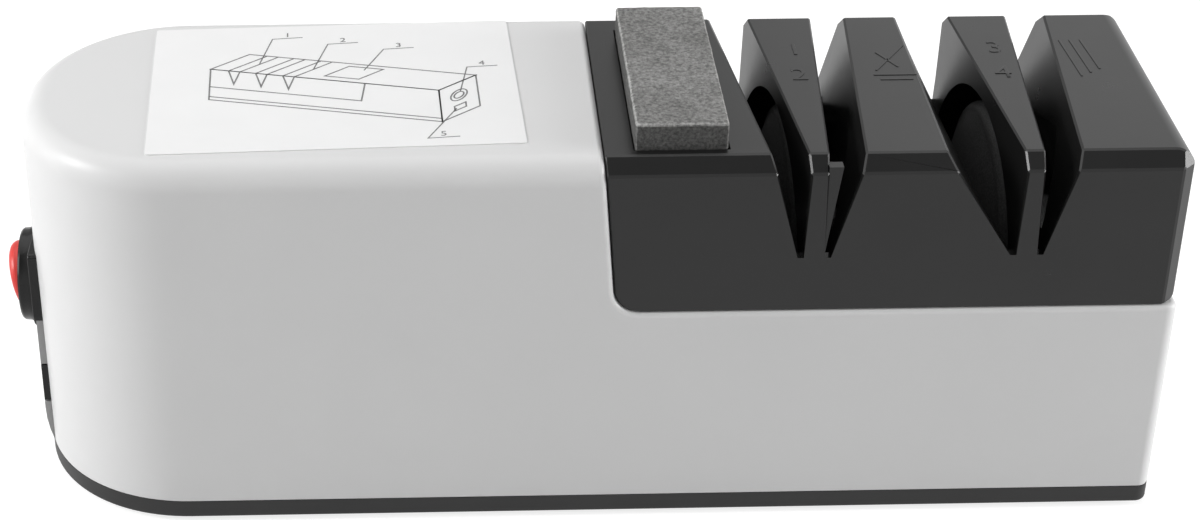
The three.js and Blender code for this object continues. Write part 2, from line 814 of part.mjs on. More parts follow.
// Grey panel that closes the round end, with the switch hole and the seat of the inlet
function rearPanel() {
  const plug = alongY(panelOutline(), -panelHalfWidth, panelHalfWidth);
  const hollow = block(
    panelFace + panelPlate, panelBack + overrun,
    -panelHalfWidth + panelRim, panelHalfWidth - panelRim,
    baseThickness - overrun, panelTop - panelRim,
  );
  const flange = block(panelFlangeX, panelBack, -panelFlangeSide, panelFlangeSide, baseThickness, panelTop);
  const switchHole = rodX(
    barrelRadius + fitGap, panelFace - overrun, panelFace + panelPlate + overrun, 0, switchHeight, bigFacets,
  );
  const seat = block(
    panelFace - overrun, panelFace + inletFlangeThickness,
    -panelHalfWidth - overrun, panelHalfWidth + overrun,
    inletHeight - inletFlangeHeight / 2, inletHeight + inletFlangeHeight / 2,
  );
  const inletHole = block(
    panelFace, panelFace + panelPlate + overrun,
    -inletBodyHalfWidth - fitGap, inletBodyHalfWidth + fitGap,
    inletHeight - inletBodyHalfHeight - fitGap, inletHeight + inletBodyHalfHeight + fitGap,
  );
  return cut(join(cut(plug, hollow), cut(flange, hollow)), switchHole, seat, inletHole);
}

// Round switch body with its bezel, open at the front for the rocker
function switchHousing() {
  const barrelEnd = panelFace + barrelLength;
  const outside = turned([
    [bezelFace, 0],
    [bezelFace, bezelRadius - bezelEdge],
    [bezelFace + bezelEdge, bezelRadius],
    [panelFace, bezelRadius],
    [panelFace, barrelRadius],
    [barrelEnd, barrelRadius],
    [barrelEnd, 0],
  ], bigFacets, 0, switchHeight);
  const well = rodX(
    rockerHoleRadius, bezelFace - overrun, barrelEnd - barrelFloor, 0, switchHeight, bigFacets,
  );
  const holeReach = pivotReach + runningGap;
  const pivotHole = rodY(
    pivotRadius + runningGap, -holeReach, holeReach, bezelFace + pivotDepth, switchHeight,
  );
  return cut(outside, well, pivotHole);
}

// Rocker button about its own pivot line
function rockerSolid() {
  const face = -pivotDepth - rockerStand;
  const back = face + rockerThickness;
  const edge = Array.from({ length: cornerSteps + 1 }, (_, i) => {
    const angle = (i / cornerSteps) * (Math.PI / 2);
    const reach = rockerRadius - rockerEdge * (1 - Math.sin(angle));
    return [face + rockerEdge * (1 - Math.cos(angle)), reach];
  });
  const button = turned([[face, 0], ...edge, [back, rockerRadius], [back, 0]], bigFacets, 0, 0);
  const pins = rodY(pivotRadius, -pivotReach, pivotReach, 0, 0);
  const halfWidth = rockerTailWidth / 2;
  const halfThick = rockerTailThickness / 2;
  const tail = block(
    back - rockerEdge, back + rockerTailLength, -halfWidth, halfWidth, -halfThick, halfThick,
  );
  return join(button, pins, tail);
}

function switchTerminal(side) {
  const start = panelFace + barrelLength;
  const z = switchHeight + side * terminalOffset;
  const halfThick = terminalThickness / 2;
  return block(
    start, start + terminalLength, -terminalWidth / 2, terminalWidth / 2, z - halfThick, z + halfThick,
  );
}

// Figure-eight mains inlet: flange in the panel's seat, body behind, cavity open outwards
function stadium(halfWidth, halfHeight) {
  const middle = halfWidth - halfHeight;
  return [-1, 1].flatMap((side) => Array.from({ length: cornerSteps * 2 + 1 }, (_, i) => {
    const angle = -side * Math.PI / 2 + (i / (cornerSteps * 2)) * Math.PI;
    return [side * middle + halfHeight * Math.cos(angle), inletHeight + halfHeight * Math.sin(angle)];
  }));
}

function powerInlet() {
  const half = inletFlangeHeight / 2 - fitGap;
  const flange = block(
    panelFace - overrun, panelFace + inletFlangeThickness, -panelHalfWidth, panelHalfWidth,
    inletHeight - half, inletHeight + half,
  );
  const follow = alongY(panelOutline(), -panelHalfWidth - overrun, panelHalfWidth + overrun);
  const outline = stadium(inletBodyHalfWidth, inletBodyHalfHeight);
  const bodyBlock = alongX(outline, panelFace + inletFlangeThickness - turnedGap, panelFace + inletDepth);
  const cavityStart = panelFace - overrun;
  const cavityEnd = panelFace + inletCavityDepth;
  const cavity = alongX(stadium(inletCavityHalfWidth, inletCavityHalfHeight), cavityStart, cavityEnd);
  const holes = [-1, 1].map((side) => rodX(
    inletPinRadius + turnedGap, cavityEnd - overrun, panelFace + inletDepth + overrun,
    side * inletPinOffset, inletHeight,
  ));
  return cut(join(flange.intersect(follow), bodyBlock), cavity, ...holes);
}

function inletPin(side) {
  return rodX(inletPinRadius, panelFace + inletPinRecess, inletTail, side * inletPinOffset, inletHeight);
}

function circuitBoard() {
  const low = baseThickness + boardLift;
  return block(
    boardLeft, boardLeft + boardThickness, -boardHalfWidth, boardHalfWidth, low, low + boardHeight,
  );
}

function capacitor() {
  const place = [capacitorOffset, capacitorHeight];
  return rodX(capacitorRadius, boardLeft - capacitorLength, boardLeft, ...place, middleFacets);
}

// Motor can: a cup, open towards the end cap, with the front shaft boss
function motorCan() {
  const bore = motorShaftRadius + runningGap;
  return turned([
    [canStart, canInnerRadius],
    [canEnd - canWall, canInnerRadius],
    [canEnd - canWall, bore],
    [canEnd + canBossLength, bore],
    [canEnd + canBossLength, canBossRadius],
    [canEnd, canBossRadius],
    [canEnd, motorRadius],
    [canStart, motorRadius],
    [canStart, canInnerRadius],
  ], bigFacets);
}

const brushMiddle = canStart + commutatorLength / 2;
const brushStart = commutatorRadius + brushGap;
const brushLength = (canInnerRadius - brushStart) * brushShare;

// Plastic end cap with two brush holders that reach over the commutator
function motorEndCap() {
  const bore = motorShaftRadius + runningGap;
  const disc = turned(ringProfile(endCapStart, canStart, bore, motorRadius), bigFacets);
  const holderHalf = brushWidth / 2 + brushHolderWall;
  const holderEnd = brushMiddle + brushThickness / 2 + brushHolderWall;
  const holders = [-1, 1].map((side) => {
    const near = side * (brushStart + brushHolderGap);
    const far = side * (brushStart + brushLength + brushHolderWall);
    return block(
      canStart - brushHolderWall, holderEnd, Math.min(near, far), Math.max(near, far),
      spindleHeight - holderHalf, spindleHeight + holderHalf,
    );
  });
  const pockets = [-1, 1].map((side) => {
    const near = side * brushStart;
    const far = side * (brushStart + brushLength + turnedGap);
    return block(
      brushMiddle - brushThickness / 2 - turnedGap, brushMiddle + brushThickness / 2 + turnedGap,
      Math.min(near, far), Math.max(near, far),
      spindleHeight - brushWidth / 2 - turnedGap, spindleHeight + brushWidth / 2 + turnedGap,
    );
  });
  return cut(join(disc, ...holders), ...pockets);
}

function carbonBrush(side) {
  const near = side * brushStart;
  const far = side * (brushStart + brushLength);
  return block(
    brushMiddle - brushThickness / 2, brushMiddle + brushThickness / 2,
    Math.min(near, far), Math.max(near, far),
    spindleHeight - brushWidth / 2, spindleHeight + brushWidth / 2,
  );
}

// One of two curved magnets against the can, above or below the armature
function statorMagnet(side) {
  const outer = canInnerRadius - cradleGap;
  const inner = outer - magnetThickness;
  const arc = (radius, backwards) => Array.from({ length: magnetSteps + 1 }, (_, i) => {
    const share = backwards ? 1 - i / magnetSteps : i / magnetSteps;
    const angle = side * Math.PI / 2 + (share - 1 / 2) * magnetArc;
    return [radius * Math.cos(angle), spindleHeight + radius * Math.sin(angle)];
  });
  const outline = [...arc(outer, false), ...arc(inner, true)];
  return alongX(outline, canStart + magnetEndGap, canEnd - canWall - armatureInset);
}

function armature() {
  const radius = canInnerRadius - cradleGap - magnetThickness - armatureGap;
  const start = canStart + magnetEndGap + armatureInset;
  const end = canEnd - canWall - 2 * armatureInset;
  return turned(ringProfile(start, end, motorShaftRadius + turnedGap, radius), bigFacets);
}

function commutator() {
  const profile = ringProfile(
    canStart + turnedGap, canStart + commutatorLength, motorShaftRadius + turnedGap, commutatorRadius,
  );
  return turned(profile, middleFacets);
}

function motorShaft() {
  const start = endCapStart - shaftTail;
  const end = couplingMiddle - shaftEndGap;
  return rodX(motorShaftRadius, start, end, 0, spindleHeight, middleFacets);
}

// Fan disc with straight blades on the motor side
function coolingFan() {
  const discStart = fanEnd - fanDiscThickness;
  const bladeReach = fanRadius - fanHubRadius;
  let fan = join(
    rodX(fanHubRadius, fanStart, fanEnd, 0, spindleHeight, middleFacets),
    rodX(fanRadius, discStart, fanEnd, 0, spindleHeight, bigFacets),
  );
  for (let i = 0; i < fanBladeCount; i += 1) {
    const blade = new THREE.BoxGeometry(fanLength - fanDiscThickness, fanBladeThickness, bladeReach);
    blade.translate((fanStart + discStart) / 2, 0, (fanRadius + fanHubRadius) / 2 - fanBladeThickness);
    blade.rotateX((i / fanBladeCount) * Math.PI * 2);
    blade.translate(0, 0, spindleHeight);
    fan = join(fan, toSolid(blade));
  }
  const bore = motorShaftRadius + turnedGap;
  return cut(fan, rodX(bore, fanStart - overrun, fanEnd + overrun, 0, spindleHeight, middleFacets));
}

// Steel strap over the motor with a foot on each post
function motorStrap() {
  const inner = motorRadius + cradleGap;
  const outer = inner + strapThickness;
  const reach = innerHalfWidth - fitGap;
  const arch = (radius, start, end) => Array.from({ length: bigFacets / 2 + 1 }, (_, i) => {
    const angle = start + (end - start) * (i / (bigFacets / 2));
    return [radius * Math.cos(angle), spindleHeight + radius * Math.sin(angle)];
  });
  const outline = [
    [reach, cradleTop],
    [reach, strapFoot],
    [outer, strapFoot],
    ...arch(outer, 0, Math.PI),
    [-outer, strapFoot],
    [-reach, strapFoot],
    [-reach, cradleTop],
    [-inner, cradleTop],
    ...arch(inner, Math.PI, 0),
    [inner, cradleTop],
  ];
  const strap = alongX(outline, strapX - strapWidth / 2, strapX + strapWidth / 2);
  const holes = [-1, 1].map((side) => rodZ(
    screwRadius + screwHoleGap, cradleTop - overrun, strapFoot + overrun, strapX, side * postOffset,
  ));
  return cut(strap, ...holes);
}

// Sleeve that joins the motor shaft to the thicker spindle
function shaftCoupling() {
  const small = motorShaftRadius + turnedGap;
  const large = spindleRadius + turnedGap;
  return turned([
    [couplingStart, small],
    [couplingMiddle, small],
    [couplingMiddle, large],
    [couplingEnd, large],
    [couplingEnd, couplingRadius],
    [couplingStart, couplingRadius],
    [couplingStart, small],
  ], middleFacets);
}

function spindle() {
  return turned([
    [couplingMiddle, 0],
    [couplingMiddle, spindleRadius],
    [frontCollarX, spindleRadius],
    [frontCollarX, collarRadius],
    [frontCollarX + collarLength, collarRadius],
    [frontCollarX + collarLength, spindleRadius],
    [spindleEnd, spindleRadius],
    [spindleEnd, 0],
  ], middleFacets);
}

// Double-sided grinding wheel: flat hub and slightly domed conical flanks
function grindingWheel(pair) {
  const bore = spindleRadius + turnedGap;
  const flankMiddleRadius = (wheelHubRadius + wheelRadius) / 2;
  const flankMiddleHalf = (wheelHubHalf + wheelRimHalf) / 2 + wheelBulge;
  const nearRim = wheelRadius - wheelBulge;
  const right = [
    [wheelHubHalf, bore],
    [wheelHubHalf, wheelHubRadius],
    [flankMiddleHalf, flankMiddleRadius],
    [wheelRimHalf, nearRim],
    [wheelRimHalf - wheelBulge, wheelRadius],
  ];
  const left = right.map(([x, radius]) => [-x, radius]).reverse();
  const profile = [...right, ...left, right[0]].map(([x, radius]) => [pair + x, radius]);
  return turned(profile, bigFacets);
}

function wheelSpacer() {
  const start = narrowPairX + wheelHubHalf;
  const end = widePairX - wheelHubHalf;
  return turned(ringProfile(start, end, spindleRadius + turnedGap, collarRadius), middleFacets);
}

function spindleNut() {
  const end = nutStart + nutLength;
  const corner = nutAcrossFlats / 2 / Math.cos(Math.PI / hexagon);
  const hex = rodX(corner, nutStart, end, 0, spindleHeight, hexagon);
  const bore = spindleRadius + turnedGap;
  return cut(hex, rodX(bore, nutStart - overrun, end + overrun, 0, spindleHeight, middleFacets));
}

function bearing(x) {
  const half = bearingLength / 2;
  return turned(ringProfile(x - half, x + half, spindleRadius + runningGap, bearingRadius), middleFacets);
}

// Cap that holds a bearing down on its saddle, with a screw flange at each side
function bearingCap(x) {
  const half = saddleThickness / 2;
  const dome = rodX(bearingCapRadius, x - half, x + half, 0, spindleHeight, middleFacets);
  const flange = block(x - half, x + half, -saddleHalfWidth, saddleHalfWidth, spindleHeight, capFlangeTop);
  const below = block(
    x - saddleThickness, x + saddleThickness, -bodyWidth, bodyWidth, -bodyHeight, spindleHeight,
  );
  const seatReach = half + overrun;
  const seat = rodX(bearingRadius + turnedGap, x - seatReach, x + seatReach, 0, spindleHeight, middleFacets);
  const holes = [-1, 1].map((side) => rodZ(
    screwRadius + screwHoleGap, spindleHeight - overrun, capFlangeTop + overrun, x, side * capScrewOffset,
  ));
  return cut(join(dome, flange), below, seat, ...holes);
}

function whetstone() {
  const { left, right, front, back } = stonePlace;
  const corners = (inset) => [
    [left + inset, front + stoneChamfer],
    [left + stoneChamfer, front + inset],
    [right - stoneChamfer, front + inset],
    [right - inset, front + stoneChamfer],
    [right - inset, back - stoneChamfer],
    [right - stoneChamfer, back - inset],
    [left + stoneChamfer, back - inset],
    [left + inset, back - stoneChamfer],
  ];
  const ring = (inset, z) => corners(inset).map(([x, y]) => [x, y, z]);
  const top = bodyHeight + stoneStand;
  const edge = stoneChamfer / 2;
  return loft([ring(0, bodyHeight - stoneSunk), ring(0, top - edge), ring(edge, top)]);
}

// Card on the plain top, between the round end and the seam
function labelCard() {
  const plainLength = seamTop - roundEnd;
  const cardLength = plainLength * cardLengthShare;
  const card = new THREE.BoxGeometry(cardLength, bodyWidth * cardWidthShare, cardThickness);
  card.rotateZ(cardTurn);
  card.translate(roundEnd + plainLength * cardInsetShare, cardShift, bodyHeight + cardThickness / 2);
  return toSolid(card);
}

// An insulated lead between two points, leaving and arriving along the given directions
function lead(from, leaving, to, arriving) {
  const start = new THREE.Vector3(...from).addScaledVector(leaving, leadEndGap);
  const end = new THREE.Vector3(...to).addScaledVector(arriving, leadEndGap);
  const route = new THREE.CubicBezierCurve3(
    start,
    start.clone().addScaledVector(leaving, leadBend),
    end.clone().addScaledVector(arriving, leadBend),
    end,
  );
  const section = new THREE.Shape(Array.from({ length: leadSides }, (_, i) => {
    const angle = (i / leadSides) * Math.PI * 2;
    return new THREE.Vector2(leadRadius * Math.cos(angle), leadRadius * Math.sin(angle));
  }));
  return toSolid(new THREE.ExtrudeGeometry(section, { steps: leadSteps, extrudePath: route }));
}

const toSquareEnd = new THREE.Vector3(1, 0, 0);
const toRoundEnd = new THREE.Vector3(-1, 0, 0);

function leads() {
  const boardBack = boardLeft + boardThickness;
  const lowSwitch = [terminalEnd, 0, switchHeight - terminalOffset];
  const highSwitch = [terminalEnd, 0, switchHeight + terminalOffset];
  const inletAt = (side) => [inletTail, side * inletPinOffset, inletHeight];
  const pad = (side, z) => [boardLeft, side * boardPadOffset, z];
  const terminalAt = (side) => [endCapStart, side * motorRadius * motorTerminalShare, spindleHeight];
  return {
    lead_inlet_to_board: lead(inletAt(-1), toSquareEnd, pad(-1, boardLowPad), toRoundEnd),
    lead_inlet_to_switch: lead(inletAt(1), toSquareEnd, lowSwitch, toSquareEnd),
    lead_switch_to_board: lead(highSwitch, toSquareEnd, pad(-1, boardHighPad), toRoundEnd),
    lead_motor_1: lead([boardBack, -boardPadOffset, boardHighPad], toSquareEnd, terminalAt(-1), toRoundEnd),
    lead_motor_2: lead([boardBack, boardPadOffset, boardHighPad], toSquareEnd, terminalAt(1), toRoundEnd),
  };
}

// Finishes: colour, roughness, metalness
const finishes = {
  whitePlastic: [0xe6e7e8, 0.28, 0],
  blackPlastic: [0x3a3a3c, 0.38, 0],
  darkPlastic: [0x38383a, 0.5, 0],
  greyPlastic: [0x8f9092, 0.45, 0],
  glossBlack: [0x1c1c1e, 0.2, 0],
  redPlastic: [0xd8201c, 0.22, 0],
  paper: [0xf4f4f2, 0.7, 0],
  abrasiveStone: [0x8c8c8a, 0.95, 0],
  gritWheel: [0x3c3c3e, 0.6, 0.5],
  steel: [0xa8aaad, 0.35, 1],
  motorSteel: [0x9a9c9f, 0.4, 1],
  brass: [0xc9a227, 0.35, 1],
  copper: [0xb26b3c, 0.4, 1],
  ferrite: [0x2b2b2d, 0.7, 0],
  carbon: [0x202022, 0.8, 0],
  boardGreen: [0x2f6b3c, 0.6, 0],
  capacitorBlue: [0x27407a, 0.4, 0],
  rubber: [0x1d1d1e, 0.85, 0],
  leadRed: [0xa8302a, 0.5, 0],
};

const sharpener = new THREE.Group();

function addPart(name, solid, finish) {
  const [color, roughness, metalness] = finishes[finish];
  const mesh = new THREE.Mesh(
    toGeometry(solid),
    new THREE.MeshStandardMaterial({ color, roughness, metalness }),
  );
  mesh.name = name;
  sharpener.add(mesh);
  return mesh;
}

addPart('body_shell', bodyShell(), 'whitePlastic');
addPart('guide_module', guideModule(), 'blackPlastic');
addPart('base_plate', basePlate(), 'darkPlastic');
addPart('rear_panel', rearPanel(), 'greyPlastic');
addPart('label_card', labelCard(), 'paper');
addPart('whetstone', whetstone(), 'abrasiveStone');

addPart('switch_housing', switchHousing(), 'glossBlack');
const rocker = addPart('rocker', rockerSolid(), 'redPlastic');
rocker.position.set(bezelFace + pivotDepth, 0, switchHeight);
rocker.rotation.y = -rockerTilt;
addPart('power_inlet', powerInlet(), 'glossBlack');
addPart('circuit_board', circuitBoard(), 'boardGreen');
addPart('capacitor', capacitor(), 'capacitorBlue');

addPart('motor_can', motorCan(), 'motorSteel');
addPart('motor_end_cap', motorEndCap(), 'darkPlastic');
addPart('armature', armature(), 'copper');
addPart('commutator', commutator(), 'copper');
addPart('motor_shaft', motorShaft(), 'steel');
addPart('cooling_fan', coolingFan(), 'darkPlastic');
addPart('motor_strap', motorStrap(), 'steel');

addPart('shaft_coupling', shaftCoupling(), 'brass');
addPart('spindle', spindle(), 'steel');
addPart('coarse_wheel', grindingWheel(narrowPairX), 'gritWheel');
addPart('fine_wheel', grindingWheel(widePairX), 'gritWheel');
addPart('wheel_spacer', wheelSpacer(), 'steel');
addPart('spindle_nut', spindleNut(), 'steel');
addPart('front_bearing', bearing(frontBearingX), 'steel');
addPart('end_bearing', bearing(endBearingX), 'steel');
addPart('front_bearing_cap', bearingCap(frontBearingX), 'darkPlastic');
addPart('end_bearing_cap', bearingCap(endBearingX), 'darkPlastic');

Object.entries(leads()).forEach(([name, solid]) => addPart(name, solid, 'leadRed'));
feet.forEach((foot, i) => addPart(`rubber_foot_${i + 1}`, rubberFoot(foot), 'rubber'));

[-1, 1].forEach((side, i) => {
  const number = i + 1;
  addPart(`switch_terminal_${number}`, switchTerminal(side), 'brass');
  addPart(`inlet_pin_${number}`, inletPin(side), 'brass');
  addPart(`stator_magnet_${number}`, statorMagnet(side), 'ferrite');
  addPart(`carbon_brush_${number}`, carbonBrush(side), 'carbon');
  const screws = {
    strap_screw: downward(screw(strapScrewLength), strapX, side * postOffset, strapFoot),
    front_cap_screw: downward(screw(capScrewLength), frontBearingX, side * capScrewOffset, capFlangeTop),
    end_cap_screw: downward(screw(capScrewLength), endBearingX, side * capScrewOffset, capFlangeTop),
    left_module_screw: upward(screw(moduleScrewLength), leftLugX, side * moduleBossOffset, lugUnder),
    right_module_screw: upward(screw(moduleScrewLength), rightLugX, side * moduleBossOffset, lugUnder),
    rear_base_screw: upward(screw(baseScrewLength), rearBossX, side * bossOffset, counterboreDepth),
    front_base_screw: upward(screw(baseScrewLength), frontBossX, side * bossOffset, counterboreDepth),
  };
  Object.entries(screws).forEach(([name, solid]) => addPart(`${name}_${number}`, solid, 'steel'));
});

// The origin lies on the standing surface, under the middle of the whole part
const bounds = new THREE.Box3().setFromObject(sharpener, true);
const middle = bounds.getCenter(new THREE.Vector3());
sharpener.position.set(-middle.x, -middle.y, -bounds.min.z);

export default sharpener;
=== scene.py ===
"""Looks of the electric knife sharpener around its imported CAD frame.

Lengths are millimetres in the row frame while a piece is built, and metres once it is dressed."""

import math
from collections import namedtuple

import bmesh
import bpy
from mathutils import Matrix, Vector, noise

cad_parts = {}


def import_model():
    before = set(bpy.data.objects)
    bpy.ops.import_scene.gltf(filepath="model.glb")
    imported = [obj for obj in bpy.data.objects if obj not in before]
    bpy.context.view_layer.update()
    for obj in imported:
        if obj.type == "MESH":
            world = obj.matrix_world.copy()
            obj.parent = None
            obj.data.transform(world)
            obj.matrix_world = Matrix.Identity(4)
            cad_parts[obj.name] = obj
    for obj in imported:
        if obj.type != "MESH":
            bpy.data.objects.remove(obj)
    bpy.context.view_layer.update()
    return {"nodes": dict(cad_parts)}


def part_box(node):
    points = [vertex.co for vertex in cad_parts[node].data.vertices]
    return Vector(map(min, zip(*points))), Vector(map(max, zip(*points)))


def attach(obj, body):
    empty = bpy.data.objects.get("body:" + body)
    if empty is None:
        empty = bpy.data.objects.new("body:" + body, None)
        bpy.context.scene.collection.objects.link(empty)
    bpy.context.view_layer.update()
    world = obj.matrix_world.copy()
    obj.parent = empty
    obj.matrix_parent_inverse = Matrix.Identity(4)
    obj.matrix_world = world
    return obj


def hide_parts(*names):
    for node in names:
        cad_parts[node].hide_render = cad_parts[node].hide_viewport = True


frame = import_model()

MM = 0.001
FLAT_ANGLE = math.radians(0.05)
TWIST_ANGLE = math.radians(1.2)
OVERRUN = 2.0

Span = namedtuple("Span", "low high")


def span(node):
    """Lowest and highest corner of a CAD node, in millimetres."""
    low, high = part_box(node)
    return Span(low / MM, high / MM)


# Sizes
SHELL = span("body_shell")
MODULE = span("guide_module")
BASE = span("base_plate")
PANEL = span("rear_panel")
SWITCH = span("switch_housing")
CARD = span("label_card")
STONE = span("whetstone")
SPINDLE = span("spindle")
PAIRS = [span("coarse_wheel"), span("fine_wheel")]
PAIR_X = [(pair.low.x + pair.high.x) / 2 for pair in PAIRS]
SPINDLE_Z = (SPINDLE.low.z + SPINDLE.high.z) / 2

TOP = SHELL.high.z
HALF_WIDTH = SHELL.high.y
WALL = 2.5
FIT_GAP = 0.3
LEAST_RADIUS = 0.05
# How far joined solids lap, how far outside a face a cutter starts, and how near a face its edges lie
SUNK = 0.5
CUT_START = 1.0
ON_FACE = 0.1
ROUND_RADIUS = 30.35
SQUARE_RADIUS = 2.6
TOP_FILLET = 5.0
NOTCH_LIP = 1.2

SEAM_LEAN = math.radians(4.8)
SEAM_GAP = 0.4
SEAM_SHOWN = 0.15
NOTCH_RADIUS = 5.0
NOTCH_FLOOR = MODULE.low.z
SEAM_TOP = MODULE.low.x - SEAM_GAP

MODULE_HALF = MODULE.high.y
CHAMFER_REACH = 3.2
CHAMFER_DROP = 2.75
MODULE_ROUND = 3.6
MODULE_CORNER = 2.6
MODULE_EDGE = 0.34
SLOT_DEPTH = 20.6
SLOT_FLOOR = TOP - SLOT_DEPTH
SLOT_FLOOR_WIDTH = 1.2
SLOT_FLOOR_THICKNESS = 2.5
SLOT_FALL = 0.7
SLOT_FALL_LIMIT = 1.8
TROUGH_LAP = 0.2
CORNER_CUT = 3.1
DIVIDER_TOP = 1.6
DIVIDER_FOOT = 1.9
STOP_REACH = 4.3
STOP_DROP = 1.6
STOP_INSET = 0.4
STOP_THICKNESS = 2.2
CHAMBER_RADIUS = 29.2
CHAMBER_HALF = 9.0
GUARD_WALL = 2.0
RELIEF_RADIUS = 9.0
STONE_SUNK = 3.0
RECESS_GAP = 0.15
RECESS_EDGE = 0.12
MARK_RELIEF = 0.12

BOSS_RADIUS = 4.0
BOSS_HEIGHT = 26.0
SCREW_RADIUS = 1.5
SCREW_HEAD = 2.2
SCREW_PLAY = 0.2
PILOT_PLAY = 0.05
PILOT_DEPTH = 14.0
LUG_HALF = 5.0
LUG_REACH = 9.0
LUG_THICKNESS = 3.0
MODULE_BOSS_RADIUS = 3.5
MODULE_BOSS_HEIGHT = 14.0
MODULE_PILOT_DEPTH = 8.0

PANEL_FACE = PANEL.low.x
PANEL_HALF = 10.6
SWITCH_Z = (SWITCH.low.z + SWITCH.high.z) / 2
BEZEL_PROUD = 0.5
BEZEL_FACE = SWITCH.low.x - BEZEL_PROUD
COLLAR_DROP = 7.2
COLLAR_ROUND = 4.0
COLLAR_LIP = 0.25
COLLAR_GAP = 0.1
BEZEL_RADIUS = SWITCH.high.y
BARREL_RADIUS = 8.8
BARREL_LENGTH = 14.0
ROCKER_HOLE = 8.1
ROCKER_RADIUS = 7.1
ROCKER_THICKNESS = 6.0
ROCKER_STAND = 2.9
ROCKER_EDGE = 1.5
ROCKER_TILT = math.radians(12)
PIVOT_DEPTH = 1.2
PIVOT_RADIUS = 0.9
PIVOT_REACH = 8.6
CHEEK_GAP = 0.12
CHEEK_HALF = 1.8
ROCKER_MARK = 1.3

CARD_LENGTH = 70.4
CARD_WIDTH = 52.6
CARD_TURN = math.radians(2.25)
INK_WIDTH = 0.3
INK_THICKNESS = 0.03

# Length of each kind of screw under its head
SCREWS = {
    "strap_screw": 9.0, "front_cap_screw": 10.0, "end_cap_screw": 10.0, "left_module_screw": 11.0,
    "right_module_screw": 11.0, "rear_base_screw": 14.0, "front_base_screw": 14.0,
}


# Mesh building
def new_object(name, points, faces):
    """An object of points and faces, with its faces turned outwards."""
    mesh = bpy.data.meshes.new(name)
    mesh.from_pydata([tuple(point) for point in points], [], faces)
    obj = bpy.data.objects.new(name, mesh)
    bpy.context.scene.collection.objects.link(obj)
    edit(obj, lambda bm: bmesh.ops.recalc_face_normals(bm, faces=bm.faces))
    return obj


def edit(obj, change):
    """Runs one change on an object's mesh."""
    bm = bmesh.new()
    bm.from_mesh(obj.data)
    change(bm)
    bm.to_mesh(obj.data)
    bm.free()


def loft(name, rings, closed=False):
    """A skin over rings of points; a closed one joins its last ring to its first, an open one has caps."""
    count = len(rings[0])
    faces = []
    for ring in range(len(rings) if closed else len(rings) - 1):
        near, far = ring * count, (ring + 1) % len(rings) * count
        for i in range(count):
            j = (i + 1) % count
            faces.append((near + i, near + j, far + j, far + i))
    if not closed:
        last = (len(rings) - 1) * count
        faces += [tuple(range(count)), tuple(range(last, last + count))]
    return new_object(name, [point for ring in rings for point in ring], faces)


AXES = {
    "x": lambda a, b, along: (along, a, b),
    "y": lambda a, b, along: (a, along, b),
    "z": lambda a, b, along: (a, b, along),
}


def prism(name, outline, axis, start, end):
    """An outline of (a, b) points, run along an axis."""
    return loft(name, [[AXES[axis](a, b, along) for a, b in outline] for along in (start, end)])


def block(name, low, high):
    """A box between its lowest and highest corner."""
    outline = [(low[0], low[1]), (high[0], low[1]), (high[0], high[1]), (low[0], high[1])]
    return prism(name, outline, "z", low[2], high[2])


def circle(radius, centre=(0.0, 0.0), facets=48):
    turn = math.tau / facets
    return [
        (centre[0] + radius * math.cos(i * turn), centre[1] + radius * math.sin(i * turn))
        for i in range(facets)
    ]


def rod(name, radius, axis, start, end, centre, facets=48):
    return prism(name, circle(radius, centre, facets), axis, start, end)


def lathe(name, profile, axis, centre, facets=96, closed=False):
    """A profile of (along, radius) points turned about a line that runs along an axis."""
    rings = [
        [AXES[axis](a, b, along) for a, b in circle(radius, centre, facets)]
        for along, radius in profile
    ]
    return loft(name, rings, closed)


def arc(before, corner, after, radius, steps):
    """The arc that rounds an outline's corner between the points before and after it."""
    at = Vector(corner)
    back = (Vector(before) - at).normalized()
    ahead = (Vector(after) - at).normalized()
    half = math.acos(back.dot(ahead)) / 2
    centre = at + (back + ahead).normalized() * (radius / math.sin(half))
    start = at + back * (radius / math.tan(half)) - centre
    end = at + ahead * (radius / math.tan(half)) - centre
    sweep = math.atan2(start.cross(end), start.dot(end))
    return [tuple(centre + Matrix.Rotation(sweep * i / steps, 2) @ start) for i in range(steps + 1)]


def rounded_outline(corners, steps=8):
    """An outline of (a, b, radius) corners."""
    points = []
    for i, (a, b, radius) in enumerate(corners):
        if radius:
            before, after = corners[i - 1][:2], corners[(i + 1) % len(corners)][:2]
            points += arc(before, (a, b), after, radius, steps)
        else:
            points.append((a, b))
    return points


def combine(obj, operation, *tools):
    """Joins tools to an object, cuts them from it or keeps what they share, and removes them."""
    for tool in tools:
        step = obj.modifiers.new("step", "BOOLEAN")
        step.operation = operation
        step.solver = "MANIFOLD"
        step.object = tool
    bake(obj)
    for tool in tools:
        bpy.data.objects.remove(tool)
    return obj


def join(obj, *tools):
    return combine(obj, "UNION", *tools)


def cut(obj, *tools):
    return combine(obj, "DIFFERENCE", *tools)


def bake(obj):
    """Applies an object's modifiers."""
    depsgraph = bpy.context.evaluated_depsgraph_get()
    mesh = bpy.data.meshes.new_from_object(obj.evaluated_get(depsgraph))
    obj.modifiers.clear()
    obj.data = mesh


def bevel(obj, width, segments=2, sharpest=30, where=None, flat=FLAT_ANGLE):
    """Rounds the edges sharper than an angle, once flat areas are single faces."""
    def change(bm):
        bmesh.ops.dissolve_limit(
            bm, angle_limit=flat, verts=bm.verts, edges=bm.edges, use_dissolve_boundaries=False,
        )
        chosen = [
            edge for edge in bm.edges
            if edge.is_manifold
            and edge.calc_face_angle() > math.radians(sharpest)
            and (where is None or where((edge.verts[0].co + edge.verts[1].co) / 2))
        ]
        bmesh.ops.bevel(
            bm, geom=chosen, offset=width, offset_type="OFFSET", segments=segments, profile=0.5,
            affect="EDGES", clamp_overlap=False,
        )
    edit(obj, change)
    return obj


